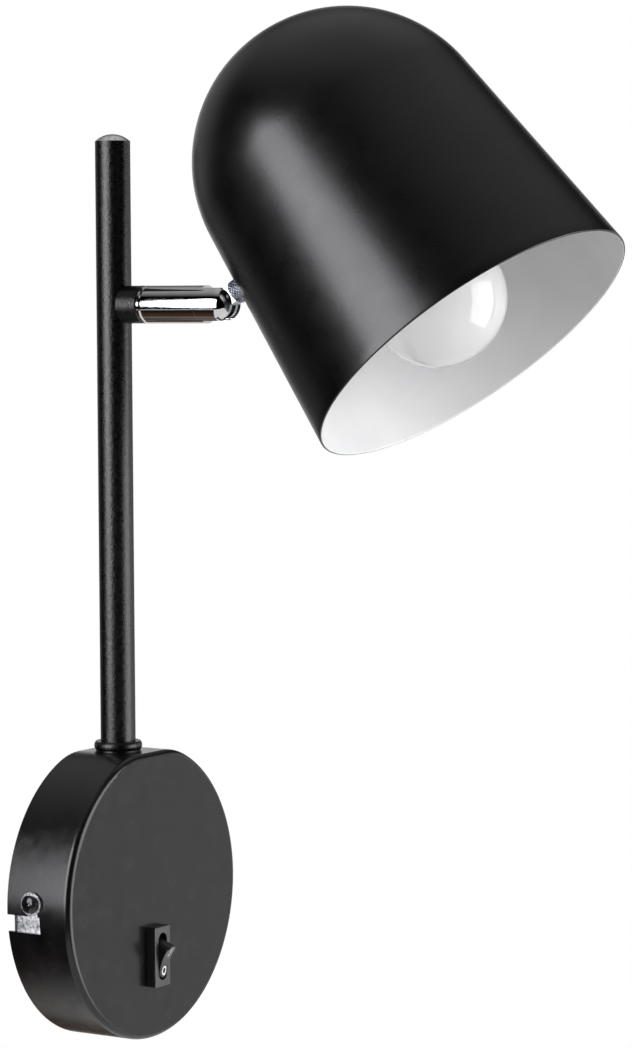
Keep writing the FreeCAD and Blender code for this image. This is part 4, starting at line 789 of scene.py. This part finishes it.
@dataclass
class ShadeHead(LampPart):
    """Shade, its stub, the lampholder and the bulb. Sizes are millimetres."""

    pivot: tuple[float, float, float] = (0.0, -54.4, 201.0)  # the tilt pivot's place
    tilt: float = 38.44  # of the shade's axis out of the upright, in degrees
    cone_angle: float = 5.5  # of the shade's wall against its axis, in degrees
    mouth_radius: float = 58.1  # outer radius at the mouth
    cone_height: float = 80.5  # height at which the cone runs into the dome
    wall: float = 0.9  # thickness of the sheet
    foot_drop: float = 11.5  # how far below the dome's start the stub stands
    stub_reach: float = 15.9  # distance of the shade's wall from the pivot
    knurl_start: float = 6.75  # from the pivot to the knurled ring
    knurl_length: float = 6.85
    knurl_radius: float = 3.9  # radius at its grooves
    knurl_height: float = 0.32  # height of its diamonds
    knurl_count: int = 22  # diamonds round the ring
    knurl_grid: tuple[int, int] = (289, 49)  # points round and along the ring
    rim_paint: float = 0.62  # share of the rolled edge that is painted black
    spin_ease: float = 0.03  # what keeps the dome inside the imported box
    around: int = 224  # faces round the shell
    rings: tuple[int, int, int] = (24, 56, 8)  # points along cone, dome and half the rolled edge
    knurl_ends: Pair = (14.0, 96.0)  # how steeply the diamonds and the ring itself end

    def build(self) -> None:
        """Adds the shell and the knurl, and dresses the other nodes."""
        self.shell()
        self.knurl()
        self.dress(STUB_CHROME, "shade_stub")
        self.dress(WASHER_BLACK, "stub_washer")
        self.dress(NICKEL, "holder_bracket", "bulb_cap", "bulb_contact")
        self.dress(ZINC, "stub_lock_washer", "stub_nut", "holder_nipple", "holder_nut")
        self.dress(THERMOPLAST, "holder_cup", "holder_skirt", "holder_core")
        self.dress(BRASS, "screw_shell", "centre_contact")
        self.dress(OPAL, "bulb_glass")
        self.dress(GLAZE, "bulb_insulator")
        self.dress(SHEATH, "lamp_flex")

    def mouth(self) -> Matrix:
        """Gives the frame whose origin is the mouth's middle and whose Z runs to the dome.

        Returns:
            The frame in metres.
        """
        slope, lean = radians(self.cone_angle), radians(self.tilt)
        foot = self.cone_height - self.foot_drop
        reach = self.mouth_radius - foot * tan(slope) + self.stub_reach * cos(slope)
        rise = foot + self.stub_reach * sin(slope)
        y = self.pivot[1] - reach * cos(lean) - rise * sin(lean)
        z = self.pivot[2] + reach * sin(lean) - rise * cos(lean)
        return Matrix.Translation(Vector((0.0, y, z)) * MM) @ Matrix.Rotation(-lean, 4, "X")

    def stub(self) -> Matrix:
        """Gives the frame, in metres, at the tilt pivot whose Z runs along the stub."""
        turn = radians(90.0 - self.tilt + self.cone_angle)
        return Matrix.Translation(Vector(self.pivot) * MM) @ Matrix.Rotation(turn, 4, "X")

    def shell(self) -> None:
        """Adds the shade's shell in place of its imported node."""
        tree = Growth("spun_shell", {
            "Mouth Radius": self.mouth_radius * MM,
            "Cone Height": (self.cone_height - self.spin_ease) * MM,
            "Slope": radians(self.cone_angle), "Wall": self.wall * MM,
            "Around": self.around, "Outside": SHADE_PAINT.material(), "Inside": ENAMEL.material()})
        mesh = tree.mesh("shade_shell", self.spun(tree))
        add_piece(placed(mesh, self.mouth()), Body.SHADE, Slot.PAINT, (), ["shade"])

    def spun(self, tree: Growth) -> Socket:
        """Writes the rule of the shell: cone, dome and rolled edge, painted outside.

        Args:
            tree: The tree, with its inputs.

        Returns:
            The finished geometry.
        """
        calc, made = tree.calc, tree.made
        times, plus, minus = (partial(calc, rule) for rule in SUMS)
        mouth, rise, slope, wall, around, outside, inside = tree.given
        sine, cosine, tangent = (calc(rule, slope) for rule in ("SINE", "COSINE", "TANGENT"))
        dome = calc("DIVIDE", minus(mouth, times(rise, tangent)), cosine)
        centre = minus(rise, times(dome, sine))
        half = times(wall, 0.5)
        edge = times(half, plus(sine, 1.0))
        outer_across = minus(mouth, times(edge, tangent))
        inner_across = minus(outer_across, times(wall, cosine))
        inner_edge = minus(edge, times(wall, sine))
        rim_across = times(plus(outer_across, inner_across), 0.5)
        rim_up = times(plus(edge, inner_edge), 0.5)
        cone_count, dome_count, rim_count = self.rings
        hub = MM  # radius of the path, which the profile is moved in by
        path = made("GeometryNodeCurvePrimitiveCircle", {"Resolution": around, "Radius": hub})

        def spot(across: object, up: object) -> Socket:
            """Gives a profile point; the sweep turns the profile's Y downwards."""
            return tree.vector(across, times(up, -1.0))

        def moved(curve: Socket, place: object) -> Socket:
            """Moves a curve."""
            return made("GeometryNodeTransform", {"Geometry": curve, "Translation": place})

        def wall_curves(across: Socket, up: Socket, radius: Socket) -> list[Socket]:
            """Draws the straight run and the quarter round of one face of the sheet.

            Args:
                across: Radius at the edge.
                up: Height at the edge.
                radius: Radius of the dome.

            Returns:
                Both curves.
            """
            join = spot(times(radius, cosine), calc("MULTIPLY_ADD", radius, sine, centre))
            line = made("GeometryNodeCurvePrimitiveLine", {"Start": spot(across, up), "End": join})
            arc = made("GeometryNodeCurveArc", {
                "Resolution": dome_count, "Radius": radius, "Start Angle": times(slope, -1.0),
                "Sweep Angle": minus(slope, pi / 2)})
            return [made("GeometryNodeResampleCurve", {"Curve": line, "Count": cone_count}),
                    moved(arc, spot(0.0, centre))]

        def rolled(start: float, sweep: float) -> Socket:
            """Draws a part of the rolled edge, from its start over its sweep."""
            arc = made("GeometryNodeCurveArc", {
                "Resolution": rim_count, "Radius": half, "Start Angle": minus(start, slope),
                "Sweep Angle": sweep})
            return moved(arc, spot(rim_across, rim_up))

        def swept(curves: Sequence[Socket], material: Socket) -> Socket:
            """Sweeps profile curves round the axis and gives them a material.

            Args:
                curves: The curves.
                material: The material.

            Returns:
                The sheet.
            """
            profile = moved(made(JOIN, {0: curves}), (-hub, 0.0, 0.0))
            sheet = made("GeometryNodeCurveToMesh", {"Curve": path, "Profile Curve": profile})
            return made("GeometryNodeSetMaterial", {"Geometry": sheet, "Material": material})

        painted = self.rim_paint * pi
        outer = [*wall_curves(outer_across, edge, dome), rolled(0.0, painted)]
        inner = [*wall_curves(inner_across, inner_edge, minus(dome, wall)),
                 rolled(painted, (1.0 - self.rim_paint) * pi)]
        both = made(JOIN, {0: [swept(outer, outside), swept(inner, inside)]})
        welded = made("GeometryNodeMergeByDistance", {"Geometry": both, "Distance": SEAM})
        smooth = made("GeometryNodeSetShadeSmooth", {"Geometry": welded})
        return made("GeometryNodeRealizeInstances", {"Geometry": smooth})

    def knurl(self) -> None:
        """Adds the knurled ring on the stub's neck."""
        tree = Growth("diamond_knurl", {
            "Radius": self.knurl_radius * MM, "Length": self.knurl_length * MM,
            "Height": self.knurl_height * MM, "Count": self.knurl_count,
            "Finish": KNURL_STEEL.material()})
        mesh = tree.mesh("neck_knurl", self.knurled(tree))
        matrix = self.stub() @ Matrix.Translation((0.0, 0.0, self.knurl_start * MM))
        add_piece(sharpened(placed(mesh, matrix), crease=40.0), Body.SHADE, Slot.CHROME)

    def knurled(self, tree: Growth) -> Socket:
        """Writes the rule of a diamond-knurled ring: a sheet that is rolled up and closed.

        Args:
            tree: The tree, with its inputs.

        Returns:
            The finished geometry.
        """
        calc, made = tree.calc, tree.made
        times, plus = (partial(calc, rule) for rule in SUMS[:2])
        radius, length, height, count, finish = tree.given
        columns, rows = self.knurl_grid
        grid = made("GeometryNodeMeshGrid", {
            "Size X": 1.0, "Size Y": 1.0, "Vertices X": columns, "Vertices Y": rows})
        parts = tree.add("ShaderNodeSeparateXYZ", {0: made("GeometryNodeInputPosition")}).outputs
        around, along = (plus(part, 0.5) for part in parts[:2])
        pitch = calc("DIVIDE", times(radius, 2 * pi), count)
        bands = calc("ROUND", calc("DIVIDE", length, pitch))
        waves = []
        for operation in ("ADD", "SUBTRACT"):
            phase = calc(operation, times(around, count), times(along, bands))
            waves.append(calc("PINGPONG", plus(phase, 64.0), 0.5))  # 64 keeps it above 0
        diamond = times(times(*waves), 4.0)
        from_end = calc("PINGPONG", along, 0.5)
        fade, close = (calc("MINIMUM", times(from_end, pace), 1.0) for pace in self.knurl_ends)
        out = calc("MULTIPLY_ADD", times(diamond, height), fade, radius)
        closed = times(out, close)
        turn = times(around, 2 * pi)
        place = tree.vector(times(closed, calc("COSINE", turn)), times(closed, calc("SINE", turn)),
                            times(along, length))
        ring = made("GeometryNodeSetPosition", {"Geometry": grid, "Position": place})
        welded = made("GeometryNodeMergeByDistance", {"Geometry": ring, "Distance": SEAM})
        real = made("GeometryNodeRealizeInstances", {"Geometry": welded})
        return made("GeometryNodeSetMaterial", {"Geometry": real, "Material": finish})


# ---- studio ----


@dataclass(frozen=True)
class SoftBox:
    """A soft lamp round the object, placed as seen from the camera. Sizes are metres."""

    name: str
    azimuth: float  # degrees to the right of the way to the camera
    elevation: float  # degrees above the horizon
    width: float
    height: float
    radiance: float  # how bright its face looks, where 1 is white
    gloss: bool = True  # whether glossy surfaces mirror it
    diffuse: bool = True  # whether it lights matt surfaces
    distance: float = 1.5  # from the object
    colour: Colour = (1.0, 1.0, 1.0)


@dataclass(frozen=True)
class PalePatch:
    """A pale part of the room that glossy surfaces mirror, placed as a soft box is."""

    azimuth: float
    elevation: float
    strength: float  # brightness at its middle, where 1 is white
    span: Pair  # cosines of the angles to its middle where it starts and where it is whole


@dataclass
class Studio:
    """Camera, lamps, floor and surroundings."""

    eye: Vector = Vector((-0.96494, -0.69521, 0.20426))  # the camera's place
    right: Vector = Vector((0.53030, -0.84779, -0.00566))
    up: Vector = Vector((0.05923, 0.03038, 0.99778))
    focal: float = 3461.404  # in pixels of the photograph
    picture: tuple[int, int] = (632, 1048)  # width and height in pixels
    sensor: float = 36.0  # width in millimetres
    clip: Pair = (0.05, 60.0)  # nearest and furthest that is seen
    aim: Vector = Vector((0.0, -0.08, 0.13))  # the point that the lamps face
    floor_height: float = -1.3
    floor_span: Pair = (-2.6, 2.6)  # where the floor starts and ends, both ways
    floor_white: float = 0.82  # how much of its look to the eye is plain white
    board_height: float = -0.42
    board_across: Pair = (-0.95, 0.7)  # where it starts and ends along X
    board_along: Pair = (0.28, 1.2)  # where it starts and ends along Y
    board_tones: Pair = (-0.7, 0.7)  # where its tones start and end along X
    board_drift: float = 0.06  # how far they stray to each side
    boxes: tuple[SoftBox, ...] = (
        SoftBox("key_box", -52.3, 9.0, 0.52, 0.68, 7.2, diffuse=False, distance=0.82,
                colour=(0.965, 0.965, 1.0)),
        SoftBox("window_box", 79.0, -4.0, 1.2, 1.5, 4.2, diffuse=False),
        SoftBox("right_box", 128.0, -6.0, 1.1, 1.2, 0.72, diffuse=False),
        SoftBox("left_fill", -50.0, 15.0, 1.0, 1.4, 0.8, gloss=False),
        SoftBox("front_fill", 68.0, 6.0, 1.5, 1.4, 3.7, gloss=False),
    )
    # The pale parts of the room: ceiling, wall behind and wall on the left.
    patches: tuple[PalePatch, ...] = (
        PalePatch(180.0, 78.0, 0.48, (0.56, 0.93)),
        PalePatch(180.0, 0.0, 0.95, (0.92, 0.985)),
        PalePatch(-143.0, 8.0, 0.30, (0.87, 0.97)),
    )
    fill: float = 0.42  # light of the room on matt surfaces

    def build(self) -> None:
        """Sets up the camera, the lamps, the floor and the world."""
        self.camera()
        for box in self.boxes:
            self.lamp(box)
        self.floor()
        self.board()
        self.world()

    def camera(self) -> None:
        """Places the camera at the photograph's point of view."""
        data = bpy.data.cameras.new("photo_camera")
        data.sensor_width = self.sensor
        data.lens = self.focal * self.sensor / max(self.picture)
        data.clip_start, data.clip_end = self.clip
        camera = in_scene("photo_camera", data)
        turn = Matrix((self.right, self.up, self.right.cross(self.up))).transposed()
        camera.matrix_world = Matrix.Translation(self.eye) @ turn.to_4x4()
        bpy.context.scene.camera = camera

    def direction(self, azimuth: float, elevation: float) -> Vector:
        """Gives the way from the object towards a place in the studio.

        Args:
            azimuth: Degrees to the right of the way to the camera.
            elevation: Degrees above the horizon.

        Returns:
            A unit vector.
        """
        across = Vector((self.right.x, self.right.y, 0.0)).normalized()
        ahead = Vector((across.y, -across.x, 0.0))
        turn, rise = radians(azimuth), radians(elevation)
        level = ahead * cos(turn) + across * sin(turn)
        return level * cos(rise) + Vector((0.0, 0.0, sin(rise)))

    def lamp(self, box: SoftBox) -> None:
        """Adds one soft lamp that faces the object and isn't seen itself.

        Args:
            box: The lamp's place, size and brightness.
        """
        data = bpy.data.lights.new(box.name, "AREA")
        data.shape = "RECTANGLE"
        data.size, data.size_y = box.width, box.height
        data.energy = box.radiance * pi * box.width * box.height
        data.color = box.colour
        lamp = in_scene(box.name, data)
        way = self.direction(box.azimuth, box.elevation)
        lamp.location = self.aim + way * box.distance
        lamp.rotation_mode = "QUATERNION"
        lamp.rotation_quaternion = (-way).to_track_quat("-Z", "Y")
        lamp.visible_camera = False
        lamp.visible_glossy = box.gloss
        lamp.visible_diffuse = box.diffuse

    def sheet(self, name: str, across: Pair, along: Pair, height: float,
              material: Material) -> Thing:
        """Adds a level sheet to the stage.

        Args:
            name: Its name.
            across: Where it starts and ends along X.
            along: Where it starts and ends along Y.
            height: Its height.
            material: Its material.

        Returns:
            The object.
        """
        (left, right), (near, far) = across, along
        edge = [(left, near), (right, near), (right, far), (left, far)]
        mesh = bpy.data.meshes.new(name)
        mesh.from_pydata([(x, y, height) for x, y in edge], [], [range(len(edge))])
        mesh.materials.append(material)
        item = in_scene(name, mesh)
        return item

    def floor(self) -> None:
        """Adds the pale floor, white to the eye but for the shadow on it."""
        material, graph = new_material("pale_floor")
        rays = graph.add("ShaderNodeLightPath").outputs
        seen = graph.calc("MAXIMUM", rays["Is Camera Ray"], rays["Is Glossy Ray"])
        seen = graph.calc("MAXIMUM", seen, rays["Is Transmission Ray"])
        matt = graph.made("ShaderNodeBsdfDiffuse", {"Color": (0.8, 0.8, 0.8, 1.0)})
        white = graph.made("ShaderNodeEmission", {"Color": WHITE, "Strength": 1.0})
        share = graph.calc("MULTIPLY", seen, self.floor_white)
        mixed = graph.made("ShaderNodeMixShader", {0: share, 1: matt, 2: white})
        graph.add("ShaderNodeOutputMaterial", {"Surface": mixed})
        self.sheet("floor", self.floor_span, self.floor_span, self.floor_height, material)

    def board(self) -> None:
        """Adds a brown board under the lamp that only glossy surfaces show."""
        material, graph = new_material("brown_board")
        place = graph.add("ShaderNodeTexCoord").outputs["Object"]
        across = graph.made("ShaderNodeSeparateXYZ", {0: place})
        stray = graph.calc("MULTIPLY_ADD", graph.noise(place, 2.5, 2.0), 2 * self.board_drift,
                           -self.board_drift)
        share = graph.spread(graph.calc("ADD", across, stray), (0.0, 1.0), self.board_tones)
        tone = graph.ramp(share, [
            (0.05, (0.016, 0.01, 0.007)), (0.38, (0.075, 0.045, 0.03)), (0.5, (0.3, 0.235, 0.2)),
            (0.56, (0.36, 0.3, 0.27)), (0.66, (0.085, 0.055, 0.04)), (0.95, (0.13, 0.09, 0.07))])
        glow = graph.made("ShaderNodeEmission", {"Color": tone})
        graph.add("ShaderNodeOutputMaterial", {"Surface": glow})
        board = self.sheet("dark_board", self.board_across, self.board_along, self.board_height,
                           material)
        for ray in ("camera", "diffuse", "transmission", "volume_scatter", "shadow"):
            setattr(board, f"visible_{ray}", False)

    def world(self) -> None:
        """Makes the surroundings: white to the eye, a grey room with pale patches to gloss."""
        world = bpy.data.worlds.new("studio_room")
        world.use_nodes = True
        bpy.context.scene.world = world
        graph = Graph(world.node_tree)
        rays = graph.add("ShaderNodeLightPath").outputs
        way = graph.add("ShaderNodeTexCoord").outputs["Generated"]
        gloss = None
        for patch in self.patches:
            middle = tuple(self.direction(patch.azimuth, patch.elevation))
            near = graph.add("ShaderNodeVectorMath", {0: way, 1: middle}, operation="DOT_PRODUCT")
            pale = graph.spread(near.outputs["Value"], (0.0, patch.strength), patch.span)
            gloss = pale if gloss is None else graph.calc("ADD", gloss, pale)
        room, fill, white = (
            graph.made("ShaderNodeBackground", {"Color": WHITE, "Strength": strength})
            for strength in (gloss, self.fill, 1.0))
        lit = graph.made("ShaderNodeMixShader", {0: rays["Is Glossy Ray"], 1: fill, 2: room})
        seen = graph.calc("MAXIMUM", rays["Is Camera Ray"], rays["Is Transmission Ray"])
        mixed = graph.made("ShaderNodeMixShader", {0: seen, 1: lit, 2: white})
        graph.add("ShaderNodeOutputWorld", {"Surface": mixed})


def main() -> None:
    """Builds the lamp's looks in order."""
    logging.basicConfig(level=logging.INFO, format="%(name)s: %(message)s")
    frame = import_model()
    bpy.context.scene.view_settings.view_transform = "Standard"
    for part in (Base, Rod, Knuckle, ShadeHead):
        LOG.info("building %s", part.__name__)
        part(frame["nodes"]).build()
    Studio().build()


if __name__ == "__main__":
    main()
